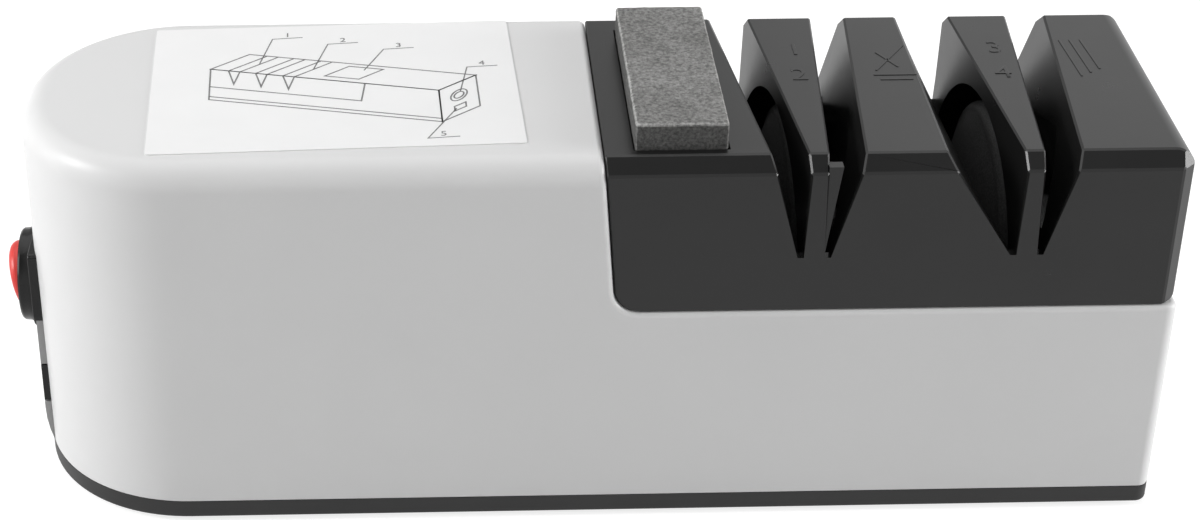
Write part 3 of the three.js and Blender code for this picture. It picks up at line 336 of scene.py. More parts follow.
def smooth(obj, angle=32):
    """Smooth shading that keeps flat faces flat and edges over the angle crisp."""
    obj.data.shade_smooth()
    obj.data.set_sharp_from_angle(angle=math.radians(angle))
    weighted = obj.modifiers.new("weighted", "WEIGHTED_NORMAL")
    weighted.keep_sharp = True
    return obj


def dress(obj, material, body, replaces=(), crisp=32):
    """Turns a piece from millimetres into metres, gives it its material and hangs it on the frame."""
    obj.data.transform(Matrix.Scale(MM, 4))
    obj.data.materials.clear()
    obj.data.materials.append(material)
    smooth(obj, crisp)
    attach(obj, body)
    if replaces:
        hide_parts(*replaces)
    return obj


# Materials
WEAR_FINENESS = 3.1


def node(tree, kind, inputs=None, **settings):
    """A shader node; an input is a value or another node's socket."""
    made = tree.nodes.new(kind)
    for key, value in settings.items():
        setattr(made, key, value)
    for key, value in (inputs or {}).items():
        if isinstance(value, bpy.types.NodeSocket):
            tree.links.new(value, made.inputs[key])
        else:
            made.inputs[key].default_value = value
    return made


def noise_field(tree, scale, detail=3.0, stretch=(1.0, 1.0, 1.0), roughness=0.5):
    place = node(tree, "ShaderNodeTexCoord").outputs["Object"]
    mapped = node(tree, "ShaderNodeMapping", {"Vector": place, "Scale": stretch})
    field = node(tree, "ShaderNodeTexNoise", {
        "Vector": mapped.outputs["Vector"], "Scale": scale, "Detail": detail, "Roughness": roughness,
    })
    return field.outputs["Fac"]


def ramp(tree, factor, *stops):
    """A colour ramp of (place, grey or colour) stops."""
    made = node(tree, "ShaderNodeValToRGB", {"Fac": factor})
    elements = made.color_ramp.elements
    while len(elements) < len(stops):
        elements.new(1.0)
    for element, (place, colour) in zip(elements, stops):
        element.position = place
        element.color = rgba(colour)
    return made.outputs["Color"]


def rgba(colour):
    return (colour, colour, colour, 1.0) if isinstance(colour, float) else (*colour, 1.0)


def blend_colours(tree, factor, first, second, mode="MIX"):
    mixer = node(tree, "ShaderNodeMix", data_type="RGBA", blend_type=mode)
    for socket, value in ((mixer.inputs[0], factor), (mixer.inputs[6], first), (mixer.inputs[7], second)):
        if isinstance(value, bpy.types.NodeSocket):
            tree.links.new(value, socket)
        elif socket.type == "RGBA":
            socket.default_value = rgba(value)
        else:
            socket.default_value = value
    return mixer.outputs[2]


def new_material(name, **fixed):
    made = bpy.data.materials.new(name)
    made.use_nodes = True
    shader = made.node_tree.nodes["Principled BSDF"]
    for key, value in fixed.items():
        shader.inputs[key.replace("_", " ")].default_value = value
    return made, made.node_tree, shader


def texture(tree, shader, wear, rough, height, strength, relief):
    """Lets the roughness wander between two values, and gives a fine relief in millimetres."""
    spread = node(tree, "ShaderNodeMapRange", {"Value": wear, "To Min": rough[0], "To Max": rough[1]})
    tree.links.new(spread.outputs["Result"], shader.inputs["Roughness"])
    bump = node(tree, "ShaderNodeBump", {"Height": height, "Strength": strength, "Distance": relief * MM})
    tree.links.new(bump.outputs["Normal"], shader.inputs["Normal"])


def moulded(
    name, dark, light, rough, mottle=60.0, grain=900.0, relief=0.02, stretch=(1.0, 1.0, 1.0), **fixed,
):
    """A material whose colour, roughness and fine relief wander a little over the surface."""
    made, tree, shader = new_material(name, **fixed)
    cloud = noise_field(tree, mottle, stretch=stretch)
    tree.links.new(ramp(tree, cloud, (0.3, dark), (0.7, light)), shader.inputs["Base Color"])
    wear = noise_field(tree, mottle * WEAR_FINENESS, stretch=stretch)
    pores = noise_field(tree, grain, detail=4.0, stretch=stretch)
    texture(tree, shader, wear, rough, pores, strength=0.35, relief=relief)
    return made


def stone_material():
    """Grey sintered stone: grains over a cloudy ground, painted shade on its sides, and pale edges that
    are partly wear and partly a painted highlight.
    """
    made, tree, shader = new_material("whetstone", Specular_IOR_Level=0.25)
    ground = noise_field(tree, 70.0, 4.0)
    cloud = ramp(tree, ground, (0.3, (0.178, 0.177, 0.172)), (0.7, (0.246, 0.245, 0.24)))
    speckle = noise_field(tree, 1500.0, 3.0, roughness=0.7)
    grains = ramp(tree, speckle, (0.35, 0.55), (0.5, 1.0), (0.66, 1.5))
    facing = node(tree, "ShaderNodeVectorMath", {
        0: node(tree, "ShaderNodeTexCoord").outputs["Normal"],
    }, operation="ABSOLUTE")
    parts = node(tree, "ShaderNodeSeparateXYZ", {"Vector": facing.outputs["Vector"]}).outputs
    widest = node(tree, "ShaderNodeMath", {0: parts["X"], 1: parts["Y"]}, operation="MAXIMUM")
    widest = node(tree, "ShaderNodeMath", {0: widest.outputs[0], 1: parts["Z"]}, operation="MAXIMUM")
    # Painted shade: faces turned away from the top and bottom are darkened in the colour, down to 0.44 on
    # upright sides
    side = ramp(tree, parts["Z"], (0.0, 0.44), (0.35, 1.0))
    # Pale edges, partly wear and partly a painted highlight: where the normal lies between the axes the
    # colour is raised up to 1.7 times
    worn = ramp(tree, widest.outputs[0], (0.80, 1.7), (0.97, 1.0))
    # The grains and the cloudy ground, with the painted side shade multiplied in
    skin = blend_colours(tree, 1.0, blend_colours(tree, 1.0, cloud, grains, "MULTIPLY"), side, "MULTIPLY")
    # The painted edge highlight, with the wear, multiplied over the shaded colour
    tree.links.new(blend_colours(tree, 1.0, skin, worn, "MULTIPLY"), shader.inputs["Base Color"])
    pores = noise_field(tree, 1400.0, 5.0, roughness=0.65)
    texture(tree, shader, noise_field(tree, 400.0), (0.78, 0.95), pores, strength=0.6, relief=0.12)
    return made


def grit_material():
    """Dark wheel with a coat of fine abrasive grains."""
    made, tree, shader = new_material("grit_wheel", Specular_IOR_Level=0.15)
    place = node(tree, "ShaderNodeTexCoord").outputs["Object"]
    cells = node(tree, "ShaderNodeTexVoronoi", {"Vector": place, "Scale": 2600.0})
    speck = ramp(tree, cells.outputs["Distance"], (0.1, 0.06), (0.45, 0.042), (0.8, 0.03))
    tree.links.new(speck, shader.inputs["Base Color"])
    grains = cells.outputs["Distance"]
    texture(tree, shader, noise_field(tree, 500.0), (0.55, 0.65), grains, strength=0.25, relief=0.03)
    return made


WHITE = moulded(
    "white_plastic", 0.768, 0.782, (0.29, 0.33), mottle=30.0, grain=1500.0, relief=0.01,
    Specular_IOR_Level=0.26,
)
BLACK = moulded(
    "black_plastic", 0.008, 0.011, (0.26, 0.31), mottle=50.0, grain=1600.0, relief=0.01, IOR=1.48,
)
DARK = moulded("dark_plastic", 0.012, 0.017, (0.42, 0.52), mottle=60.0, grain=1400.0, relief=0.02)
GREY = moulded("grey_plastic", 0.30, 0.34, (0.38, 0.48), mottle=60.0, grain=1400.0, relief=0.02)
GLOSS = moulded(
    "gloss_black", 0.005, 0.008, (0.16, 0.22), mottle=60.0, grain=900.0, relief=0.006,
    Specular_IOR_Level=0.32,
)
RED = moulded(
    "red_plastic", (0.66, 0.030, 0.024), (0.74, 0.040, 0.032), (0.30, 0.38), mottle=80.0, grain=1200.0,
    relief=0.01,
)
PAPER = moulded("card", 0.91, 0.93, (0.6, 0.7), mottle=90.0, grain=2600.0, relief=0.02)
INK = moulded("printed_ink", 0.16, 0.24, (0.6, 0.75), mottle=700.0, grain=2600.0, relief=0.01)
PAINT = moulded("white_paint", 0.72, 0.78, (0.4, 0.5), mottle=300.0, grain=2600.0, relief=0.01)
STEEL = moulded(
    "steel", 0.46, 0.56, (0.26, 0.38), mottle=300.0, grain=2200.0, relief=0.01, stretch=(1.0, 1.0, 6.0),
    Metallic=1.0,
)
BRASS = moulded(
    "brass", (0.62, 0.42, 0.16), (0.74, 0.52, 0.22), (0.24, 0.36), mottle=200.0, grain=1800.0, relief=0.01,
    Metallic=1.0,
)
FERRITE = moulded("ferrite", 0.03, 0.05, (0.55, 0.7), mottle=300.0, grain=2400.0, relief=0.03)
BOARD = moulded(
    "board", (0.01, 0.09, 0.035), (0.016, 0.13, 0.05), (0.3, 0.42), mottle=160.0, grain=1800.0,
)
CAPACITOR = moulded("capacitor", (0.02, 0.03, 0.09), (0.03, 0.045, 0.13), (0.28, 0.38), mottle=200.0)
RUBBER = moulded("rubber", 0.02, 0.032, (0.72, 0.86), mottle=120.0, grain=1800.0, relief=0.05)
LEAD = moulded("lead", (0.30, 0.012, 0.012), (0.38, 0.02, 0.018), (0.36, 0.48), mottle=160.0)
STONE_GREY = stone_material()
GRIT = grit_material()

FINISHES = {
    "dark_plastic": DARK, "grey_plastic": GREY, "gloss_black": GLOSS, "red_plastic": RED, "card": PAPER,
    "steel": STEEL, "brass": BRASS, "ferrite": FERRITE, "board": BOARD, "capacitor": CAPACITOR,
    "rubber": RUBBER, "lead": LEAD, "whetstone": STONE_GREY, "grit_wheel": GRIT, "white_plastic": WHITE,
    "black_plastic": BLACK,
}


# Housing
HOUSING_FOOT_EDGE = 0.25
BOSS_FACETS = 36
HOLE_FACETS = 24


def plan_ring(inset, z, round_steps=28, square_steps=8):
    """The body from above, drawn in by an inset: big radius at the left, small one at the right."""
    corners = [
        (SHELL.high.x, -1, 1, SQUARE_RADIUS, -0.25, square_steps),
        (SHELL.high.x, 1, 1, SQUARE_RADIUS, 0.0, square_steps),
        (SHELL.low.x, 1, -1, ROUND_RADIUS, 0.25, round_steps),
        (SHELL.low.x, -1, -1, ROUND_RADIUS, 0.5, round_steps),
    ]
    points = []
    for x, y_side, x_side, full_radius, turn, steps in corners:
        radius = max(full_radius - inset, LEAST_RADIUS)
        centre = (x - x_side * (inset + radius), y_side * (HALF_WIDTH - inset - radius))
        for i in range(steps + 1):
            angle = (turn + 0.25 * i / steps) * math.tau
            points.append((centre[0] + radius * math.cos(angle), centre[1] + radius * math.sin(angle), z))
    return points


def seam_at(z, gap=0.0):
    """Where the slanted seam between housing and module lies at a height."""
    return SEAM_TOP + gap + (TOP - z) * math.tan(SEAM_LEAN)


def filleted_rings(radius, inset, top, steps=10):
    """Outlines of the body that climb round its top fillet."""
    angles = [0.25 * math.tau * i / steps for i in range(steps + 1)]
    return [
        plan_ring(inset + radius * (1 - math.cos(angle)), top - radius + radius * math.sin(angle))
        for angle in angles
    ]


def screw_places(prefix):
    """Where each screw of a kind stands in plan."""
    spans = [span(name) for name in frame["nodes"] if name.startswith(prefix)]
    return [((s.low.x + s.high.x) / 2, (s.low.y + s.high.y) / 2) for s in spans]


BASE_SCREWS = screw_places("rear_base_screw") + screw_places("front_base_screw")
MODULE_SCREWS = screw_places("left_module_screw") + screw_places("right_module_screw")


def housing_shell():
    """White shell with a rounded top, a notch for the module, screw bosses and lugs."""
    shell = loft("housing_shell", [plan_ring(0, SHELL.low.z), *filleted_rings(TOP_FILLET, 0, TOP)])
    right = SHELL.high.x + OVERRUN
    above = TOP + OVERRUN
    notch = rounded_outline([
        (seam_at(above), above, 0), (seam_at(NOTCH_FLOOR), NOTCH_FLOOR, NOTCH_RADIUS),
        (right, NOTCH_FLOOR, 0), (right, above, 0),
    ], steps=10)
    side = HALF_WIDTH + OVERRUN
    cut(shell, prism("notch", notch, "y", -side, side))
    bevel(shell, NOTCH_LIP, segments=6, where=lambda at: at.z > NOTCH_FLOOR - ON_FACE)
    bevel(shell, HOUSING_FOOT_EDGE, where=lambda at: at.z < SHELL.low.z + ON_FACE)
    inside = loft("inside", [
        plan_ring(WALL, SHELL.low.z - OVERRUN),
        *filleted_rings(TOP_FILLET - WALL, WALL, TOP - WALL, steps=4),
    ])
    window_side = PANEL_HALF + FIT_GAP
    window = block(
        "window", (SHELL.low.x - OVERRUN, -window_side, SHELL.low.z - OVERRUN),
        (SHELL.low.x + ROUND_RADIUS, window_side, PANEL.high.z + FIT_GAP),
    )
    cut(shell, inside, window)
    inner = HALF_WIDTH - WALL
    foot = SHELL.low.z
    additions = []
    holes = []
    for place in BASE_SCREWS:
        additions.append(rod("boss", BOSS_RADIUS, "z", foot, foot + BOSS_HEIGHT, place, BOSS_FACETS))
        holes.append(rod(
            "pilot", SCREW_RADIUS + PILOT_PLAY, "z", foot - CUT_START, foot + PILOT_DEPTH, place,
            HOLE_FACETS,
        ))
    for x, y in MODULE_SCREWS:
        out = math.copysign(1, y)
        near, far = sorted((out * (inner - LUG_REACH), out * (inner + SUNK)))
        additions.append(block(
            "lug", (x - LUG_HALF, near, NOTCH_FLOOR - LUG_THICKNESS), (x + LUG_HALF, far, NOTCH_FLOOR),
        ))
        holes.append(rod(
            "way", SCREW_RADIUS + SCREW_PLAY, "z", NOTCH_FLOOR - 2 * LUG_THICKNESS,
            NOTCH_FLOOR + OVERRUN, (x, y), HOLE_FACETS,
        ))
    join(shell, *additions)
    cut(shell, *holes)
    dress(shell, WHITE, "housing", ["body_shell"])


# Base
TRAY_EDGE = 0.7
TRAY_LAP = 1.0
LIP_THICKNESS = 1.5
LIP_RISE = 3.0
LIP_INSET = 6.0
CRADLE_DROP = 9.5
CAN_SEAT = 21.2
CAN_WALL = (4.0, 20.0)
CAN_WALL_INSETS = (6.0, 9.0)
STRAP_POST_HALF = 5.0
STRAP_PILOT_DEPTH = 9.0
BEARING_SEAT = 11.05
BEARING_WALL = (8.0, 19.0)
CAP_SCREW_REACH = 16.5
CAP_PILOT_DEPTH = 6.0
BOARD_POST_HALF = (3.0, 2.5)
BOARD_POST_RISE = 10.0
BOARD_PLAY = 0.2
COUNTERBORE_DEPTH = 2.0
FOOT_POCKET_RADIUS = 6.05
FOOT_POCKET_DEPTH = 1.5


def seat_wall(x, size, top, seat_radius):
    """A low wall across the base, of a thickness and half width, with a round seat for what it carries."""
    thickness, half_width = size
    wall = block(
        "wall", (x - thickness / 2, -half_width, BASE.low.z + SUNK), (x + thickness / 2, half_width, top),
    )
    return cut(wall, rod("seat", seat_radius, "x", x - thickness, x + thickness, (0, SPINDLE_Z), 72))


def middle(node_name):
    s = span(node_name)
    return (s.low + s.high) / 2


def base_tray():
    """Dark tray with the lips, posts and seat walls that carry what is inside."""
    tray = loft("base_tray", [plan_ring(0, BASE.low.z), plan_ring(0, SHELL.low.z)])
    bevel(tray, TRAY_EDGE, segments=4, sharpest=60, where=lambda at: at.z < BASE.low.z + ON_FACE)
    strap_x = middle("motor_strap").x
    strap_y = abs(middle("strap_screw_1").y)
    cradle_top = SPINDLE_Z - CRADLE_DROP
    lip_outer = HALF_WIDTH - WALL - FIT_GAP
    rear_x = min(x for x, _ in BASE_SCREWS)
    front_x = max(x for x, _ in BASE_SCREWS)
    board = span("circuit_board")
    board_x = (board.low.x + board.high.x) / 2
    deck = BASE.low.z + TRAY_LAP
    under = BASE.low.z - CUT_START
    pilot = SCREW_RADIUS + PILOT_PLAY
    additions = []
    tools = []
    for side in (-1, 1):
        near, far = sorted((side * lip_outer, side * (lip_outer - LIP_THICKNESS)))
        additions.append(block(
            "lip", (rear_x + LIP_INSET, near, deck), (front_x - LIP_INSET, far, SHELL.low.z + LIP_RISE),
        ))
        near, far = sorted((side * CAN_SEAT, side * lip_outer))
        additions.append(block(
            "post", (strap_x - STRAP_POST_HALF, near, deck), (strap_x + STRAP_POST_HALF, far, cradle_top),
        ))
        tools.append(rod(
            "hole", pilot, "z", cradle_top - STRAP_PILOT_DEPTH, cradle_top + CUT_START,
            (strap_x, side * strap_y), HOLE_FACETS,
        ))
        half_x, half_y = BOARD_POST_HALF
        near, far = sorted((side * (board.high.y - half_y), side * (board.high.y + half_y)))
        additions.append(block(
            "board_post", (board_x - half_x, near, deck),
            (board_x + half_x, far, SHELL.low.z + BOARD_POST_RISE),
        ))
    can = span("motor_can")
    for x in (can.low.x + CAN_WALL_INSETS[0], can.high.x - CAN_WALL_INSETS[1]):
        additions.append(seat_wall(x, CAN_WALL, cradle_top, CAN_SEAT))
    for bearing in ("front_bearing", "end_bearing"):
        x = middle(bearing).x
        additions.append(seat_wall(x, BEARING_WALL, SPINDLE_Z, BEARING_SEAT))
        for side in (-1, 1):
            tools.append(rod(
                "hole", pilot, "z", SPINDLE_Z - CAP_PILOT_DEPTH, SPINDLE_Z + CUT_START,
                (x, side * CAP_SCREW_REACH), HOLE_FACETS,
            ))
    tools.append(block(
        "board_slot", (board.low.x - BOARD_PLAY, board.low.y - BOARD_PLAY, board.low.z),
        (board.high.x + BOARD_PLAY, board.high.y + BOARD_PLAY, board.high.z),
    ))
    for place in BASE_SCREWS:
        tools.append(rod(
            "hole", SCREW_RADIUS + SCREW_PLAY, "z", under, SHELL.low.z + CUT_START, place, HOLE_FACETS,
        ))
        tools.append(rod(
            "counterbore", SCREW_HEAD + FIT_GAP, "z", under, BASE.low.z + COUNTERBORE_DEPTH, place, 36,
        ))
    for number in range(1, 5):
        foot = middle(f"rubber_foot_{number}")
        tools.append(rod(
            "pocket", FOOT_POCKET_RADIUS, "z", under, BASE.low.z + FOOT_POCKET_DEPTH, (foot.x, foot.y), 60,
        ))
    join(tray, *additions)
    cut(tray, *tools)
    dress(tray, DARK, "housing", ["base_plate"])


# Guide module
MODULE_FOOT_ROUND = 1.2
STOP_EDGE = 0.06
# How far above and below the slots' floors the edges stay sharp
SHARP_ABOVE = 1.0
SHARP_BELOW = 3.0

# A slot's pair, its side of the divider, its width at the front and at the back, and its splay
Slot = namedtuple("Slot", "pair side front back splay")

SLOTS = [
    Slot(pair=0, side=-1, front=6.8, back=7.9, splay=math.radians(4.5)),
    Slot(pair=0, side=1, front=6.8, back=6.8, splay=math.radians(4.5)),
    Slot(pair=1, side=-1, front=14.45, back=10.56, splay=math.radians(3.6)),
    Slot(pair=1, side=1, front=6.8, back=7.9, splay=math.radians(4.5)),
]


def slot_walls(slot, y, z):
    """Where a slot's two walls lie, at a place along the slot and a height."""
    pair, side, front, back, splay = slot
    climb = (z - SLOT_FLOOR) / SLOT_DEPTH
    travel = (y + HALF_WIDTH) / (2 * HALF_WIDTH)
    width = front + (back - front) * travel
    inner = DIVIDER_FOOT + (DIVIDER_TOP - DIVIDER_FOOT) * climb + (y + HALF_WIDTH) * math.tan(splay)
    outer = inner + SLOT_FLOOR_WIDTH + (width - SLOT_FLOOR_WIDTH) * climb
    return PAIR_X[pair] + side * inner, PAIR_X[pair] + side * outer


def slot_cutter(slot, steps=24):
    """Cutter for one slot, from its floor up past the top."""
    high = TOP + OVERRUN
    end = MODULE_HALF + OVERRUN
    rings = []
    for i in range(steps + 1):
        y = end * (2 * i / steps - 1)
        low_inner, low_outer = slot_walls(slot, y, SLOT_FLOOR)
        high_inner, high_outer = slot_walls(slot, y, high)
        rings.append([
            (low_inner, y, SLOT_FLOOR), (low_outer, y, SLOT_FLOOR),
            (high_outer, y, high), (high_inner, y, high),
        ])
    return loft("slot", rings)


def trough(slot):
    """Cutter that lets a slot's floor fall away behind its two mouths."""
    reach = SLOT_FALL_LIMIT / SLOT_FALL
    places = [
        (-MODULE_HALF, 0.0), (reach - MODULE_HALF, SLOT_FALL_LIMIT),
        (MODULE_HALF - reach, SLOT_FALL_LIMIT), (MODULE_HALF, 0.0),
    ]
    rings = []
    for y, fall in places:
        left, right = sorted(slot_walls(slot, y, SLOT_FLOOR))
        low = SLOT_FLOOR - fall
        high = SLOT_FLOOR + TROUGH_LAP
        rings.append([(left, y, low), (right, y, low), (right, y, high), (left, y, high)])
    return loft("trough", rings)


def block_hollow(left, right, ceiling):
    """Hollow under one block of the module, between two walls given as functions of y and z."""
    reach = MODULE_HALF - WALL
    floor_z = SLOT_FLOOR - SLOT_FLOOR_THICKNESS - OVERRUN
    rings = []
    for z in (floor_z, ceiling):
        rings.append([
            (left(-reach, z), -reach, z), (right(-reach, z), -reach, z),
            (right(reach, z), reach, z), (left(reach, z), reach, z),
        ])
    return loft("hollow", rings)


def wall_in(slot):
    """The inside of the wall beyond a slot, as a function of y and z."""
    return lambda y, z: slot_walls(slot, y, z)[1] + slot.side * WALL


def chamber(x, grow):
    """Round room for a wheel, grown all round by a wall where one is wanted."""
    half = CHAMBER_HALF + grow
    return rod("chamber", CHAMBER_RADIUS + grow, "x", x - half, x + half, (0, SPINDLE_Z), 128)


def blade_stop():
    """Thin wedge in the mouth of the second slot, against its divider."""
    root = PAIR_X[0] + DIVIDER_TOP
    front = STOP_INSET - MODULE_HALF
    outline = [
        (root, SLOT_FLOOR), (root + FIT_GAP, SLOT_FLOOR), (PAIR_X[0] + STOP_REACH, TOP - STOP_DROP),
        (root, TOP - STOP_DROP),
    ]
    return bevel(prism("stop", outline, "y", front, front + STOP_THICKNESS), STOP_EDGE)


def stone_recess():
    """Cutter for the pocket that holds the stone, with a broken edge at its mouth."""
    mouth = TOP - RECESS_EDGE
    rings = []
    for z, grow in ((STONE.low.z, 0.0), (mouth, 0.0), (TOP + OVERRUN, TOP + OVERRUN - mouth)):
        reach = RECESS_GAP + grow
        left, right = STONE.low.x - reach, STONE.high.x + reach
        front, back = STONE.low.y - reach, STONE.high.y + reach
        rings.append([(left, front, z), (right, front, z), (right, back, z), (left, back, z)])
    return loft("recess", rings)


def corner_cutter(y_side):
    """Cutter for the flat facet at an upper corner of the module's right end."""
    normal = Vector((1, y_side, 1)).normalized()
    reach = 4 * OVERRUN
    tool = block("corner", (-reach, -reach, 0), (reach, reach, reach))
    at = Vector((MODULE.high.x, y_side * MODULE_HALF, TOP)) - normal * CORNER_CUT
    tool.data.transform(Matrix.Translation(at) @ normal.to_track_quat("Z", "Y").to_matrix().to_4x4())
    return tool


def module_moulding():
    """Black module with four slots, the stone's pocket, the wheels' chambers and hollow blocks."""
    right = MODULE.high.x
    side_view = rounded_outline([
        (seam_at(TOP, SEAM_SHOWN), TOP, 0), (seam_at(NOTCH_FLOOR, SEAM_SHOWN), NOTCH_FLOOR, NOTCH_RADIUS),
        (right, NOTCH_FLOOR, MODULE_FOOT_ROUND), (right, TOP, MODULE_ROUND),
    ], steps=10)
    moulding = prism("module_moulding", side_view, "y", -MODULE_HALF, MODULE_HALF)
    left = MODULE.low.x - OVERRUN
    plan_view = [
        (left, -MODULE_HALF), (right - MODULE_CORNER, -MODULE_HALF), (right, -MODULE_HALF + MODULE_CORNER),
        (right, MODULE_HALF - MODULE_CORNER), (right - MODULE_CORNER, MODULE_HALF), (left, MODULE_HALF),
    ]
    under = NOTCH_FLOOR - CUT_START
    end_view = [
        (-MODULE_HALF, under), (MODULE_HALF, under), (MODULE_HALF, TOP - CHAMFER_DROP),
        (MODULE_HALF - CHAMFER_REACH, TOP), (CHAMFER_REACH - MODULE_HALF, TOP),
        (-MODULE_HALF, TOP - CHAMFER_DROP),
    ]
    combine(
        moulding, "INTERSECT",
        prism("plan", plan_view, "z", under, TOP + CUT_START),
        prism("end", end_view, "x", left, right + CUT_START),
    )
    cut(moulding, *[slot_cutter(slot) for slot in SLOTS])
    bevel(
        moulding, MODULE_EDGE, segments=1, sharpest=25, flat=TWIST_ANGLE,
        where=lambda at: at.z > SLOT_FLOOR + SHARP_ABOVE or at.z < SLOT_FLOOR - SHARP_BELOW,
    )
    join(moulding, blade_stop())
    corners = [corner_cutter(y_side) for y_side in (-1, 1)]
    troughs = [trough(slot) for slot in SLOTS]
    cut(moulding, stone_recess(), *corners, *troughs)

    inner_left = seam_at(NOTCH_FLOOR, SEAM_GAP) + NOTCH_RADIUS + WALL
    inner_right = right - WALL
    ceiling = TOP - WALL
    low_ceiling = SLOT_FLOOR - SLOT_FLOOR_THICKNESS
    reach = MODULE_HALF - WALL
    hollow = block("low", (inner_left, -reach, NOTCH_FLOOR - OVERRUN), (inner_right, reach, low_ceiling))
    join(
        hollow,
        block_hollow(lambda y, z: inner_left, wall_in(SLOTS[0]), ceiling - STONE_SUNK),
        block_hollow(wall_in(SLOTS[1]), wall_in(SLOTS[2]), ceiling),
        block_hollow(wall_in(SLOTS[3]), lambda y, z: inner_right, ceiling),
    )
    cut(hollow, *[chamber(x, GUARD_WALL) for x in PAIR_X])
    relief = rod("relief", RELIEF_RADIUS, "x", SEAM_TOP, inner_right, (0, SPINDLE_Z), 72)
    cut(moulding, hollow, *[chamber(x, 0) for x in PAIR_X], relief)
    bosses = []
    pilots = []
    for place in MODULE_SCREWS:
        bosses.append(rod(
            "boss", MODULE_BOSS_RADIUS, "z", NOTCH_FLOOR, NOTCH_FLOOR + MODULE_BOSS_HEIGHT, place,
            BOSS_FACETS,
        ))
        pilots.append(rod(
            "pilot", SCREW_RADIUS + PILOT_PLAY, "z", under, NOTCH_FLOOR + MODULE_PILOT_DEPTH, place,
            HOLE_FACETS,
        ))
    join(moulding, *bosses)
    cut(moulding, *pilots)
    dress(moulding, BLACK, "housing", ["guide_module"], crisp=16)


# Strokes and numbers in relief: a stroke is a list of (x, y) points, closed or open
WELD = 0.001


def stroke(points, width, low, high, closed=False):
    """A band of even width along a line, mitred at its corners."""
    line = [Vector(point) for point in points]
    count = len(line)
    rings = []
    for i, at in enumerate(line):
        before = line[i - 1] if closed or i else None
        after = line[(i + 1) % count] if closed or i < count - 1 else None
        steps = [(at - before).normalized()] if before else []
        steps += [(after - at).normalized()] if after else []
        normals = [Vector((-step.y, step.x)) for step in steps]
        across = sum(normals, Vector((0.0, 0.0))).normalized()
        offset = across * (width / 2 / across.dot(normals[0]))
        rings.append([
            (*(at + offset), low), (*(at - offset), low), (*(at - offset), high), (*(at + offset), high),
        ])
    return loft("stroke", rings, closed)


def numeral(body, size, place, low, high, turn=0.0):
    """A plain number of the built-in face, standing on a surface."""
    curve = bpy.data.curves.new("numeral", "FONT")
    curve.body = body
    curve.size = size
    curve.align_x = curve.align_y = "CENTER"
    curve.extrude = (high - low) / 2
    curve.resolution_u = 4
    source = bpy.data.objects.new("numeral", curve)
    bpy.context.scene.collection.objects.link(source)
    made = bpy.data.objects.new("numeral", bpy.data.meshes.new_from_object(
        source.evaluated_get(bpy.context.evaluated_depsgraph_get()),
    ))
    bpy.context.scene.collection.objects.link(made)
    bpy.data.objects.remove(source)
    edit(made, lambda bm: bmesh.ops.remove_doubles(bm, verts=bm.verts, dist=WELD))
    made.data.transform(
        Matrix.Translation((*place, (low + high) / 2)) @ Matrix.Rotation(turn, 4, "Z")
    )
    return made


def gather(name, pieces):
    """One object of several separate pieces."""
    bm = bmesh.new()
    for piece in pieces:
        bm.from_mesh(piece.data)
        bpy.data.objects.remove(piece)
    mesh = bpy.data.meshes.new(name)
    bm.to_mesh(mesh)
    bm.free()
    obj = bpy.data.objects.new(name, mesh)
    bpy.context.scene.collection.objects.link(obj)
    return obj


# Marks on the module: places are across from a divider's or block's middle, and along it
MARK_SUNK = 0.1
MARK_EDGE = 0.06
MARK_WIDTH = 0.5
FINE_MARK_WIDTH = 0.45
NUMERAL_SIZE = 7.0
NUMERAL_PLACES = ((1.2, 14.0), (0.7, 3.0))
MIDDLE_SHIFT = -0.6
CROSS_MARK = (((-3.4, 4.5), (3.6, 15.5)), ((-2.2, 12.5), (1.2, 6.0)))
# Each bar's half length and its place along the block
BAR_MARKS = ((4.2, 2.6), (3.2, 0.6))
RAYS = 3
RAY_PLACE = 15.2
RAY_PITCH = 2.1
RAY_RISE = 1.5
RAY_ENDS = ((0.5, 1.0), (-0.4, 17.0))


def module_marks():
    """Plain numbers on the dividers, and generic strokes on the blocks, in low relief."""
    low = TOP - MARK_SUNK
    high = TOP + MARK_RELIEF
    marks = []
    for pair_x, numbers in zip(PAIR_X, ("12", "34")):
        for number, (x, y) in zip(numbers, NUMERAL_PLACES):
            marks.append(numeral(number, NUMERAL_SIZE, (pair_x + x, y), low, high))
    middle_x = (PAIR_X[0] + PAIR_X[1]) / 2 + MIDDLE_SHIFT
    for line in CROSS_MARK:
        marks.append(stroke([(middle_x + x, y) for x, y in line], MARK_WIDTH, low, high))
    for half, y in BAR_MARKS:
        marks.append(stroke([(middle_x - half, y), (middle_x + half, y)], FINE_MARK_WIDTH, low, high))
    (foot_x, foot_y), (tip_x, tip_y) = RAY_ENDS
    for i in range(RAYS):
        x = PAIR_X[1] + RAY_PLACE + RAY_PITCH * i
        ray = [(x + foot_x, foot_y + RAY_RISE * i), (x + tip_x, tip_y)]
        marks.append(stroke(ray, FINE_MARK_WIDTH, low, high))
    relief = bevel(gather("module_marks", marks), MARK_EDGE, sharpest=60)
    dress(relief, BLACK, "housing")


# Wheels
WHEEL_BORE = 4.05
HUB_RADIUS = 11.0
HUB_EDGE = 0.3
RIM_HALF = 3.1
RIM_ROUND = 2.2
FLANK_BULGE = 0.5


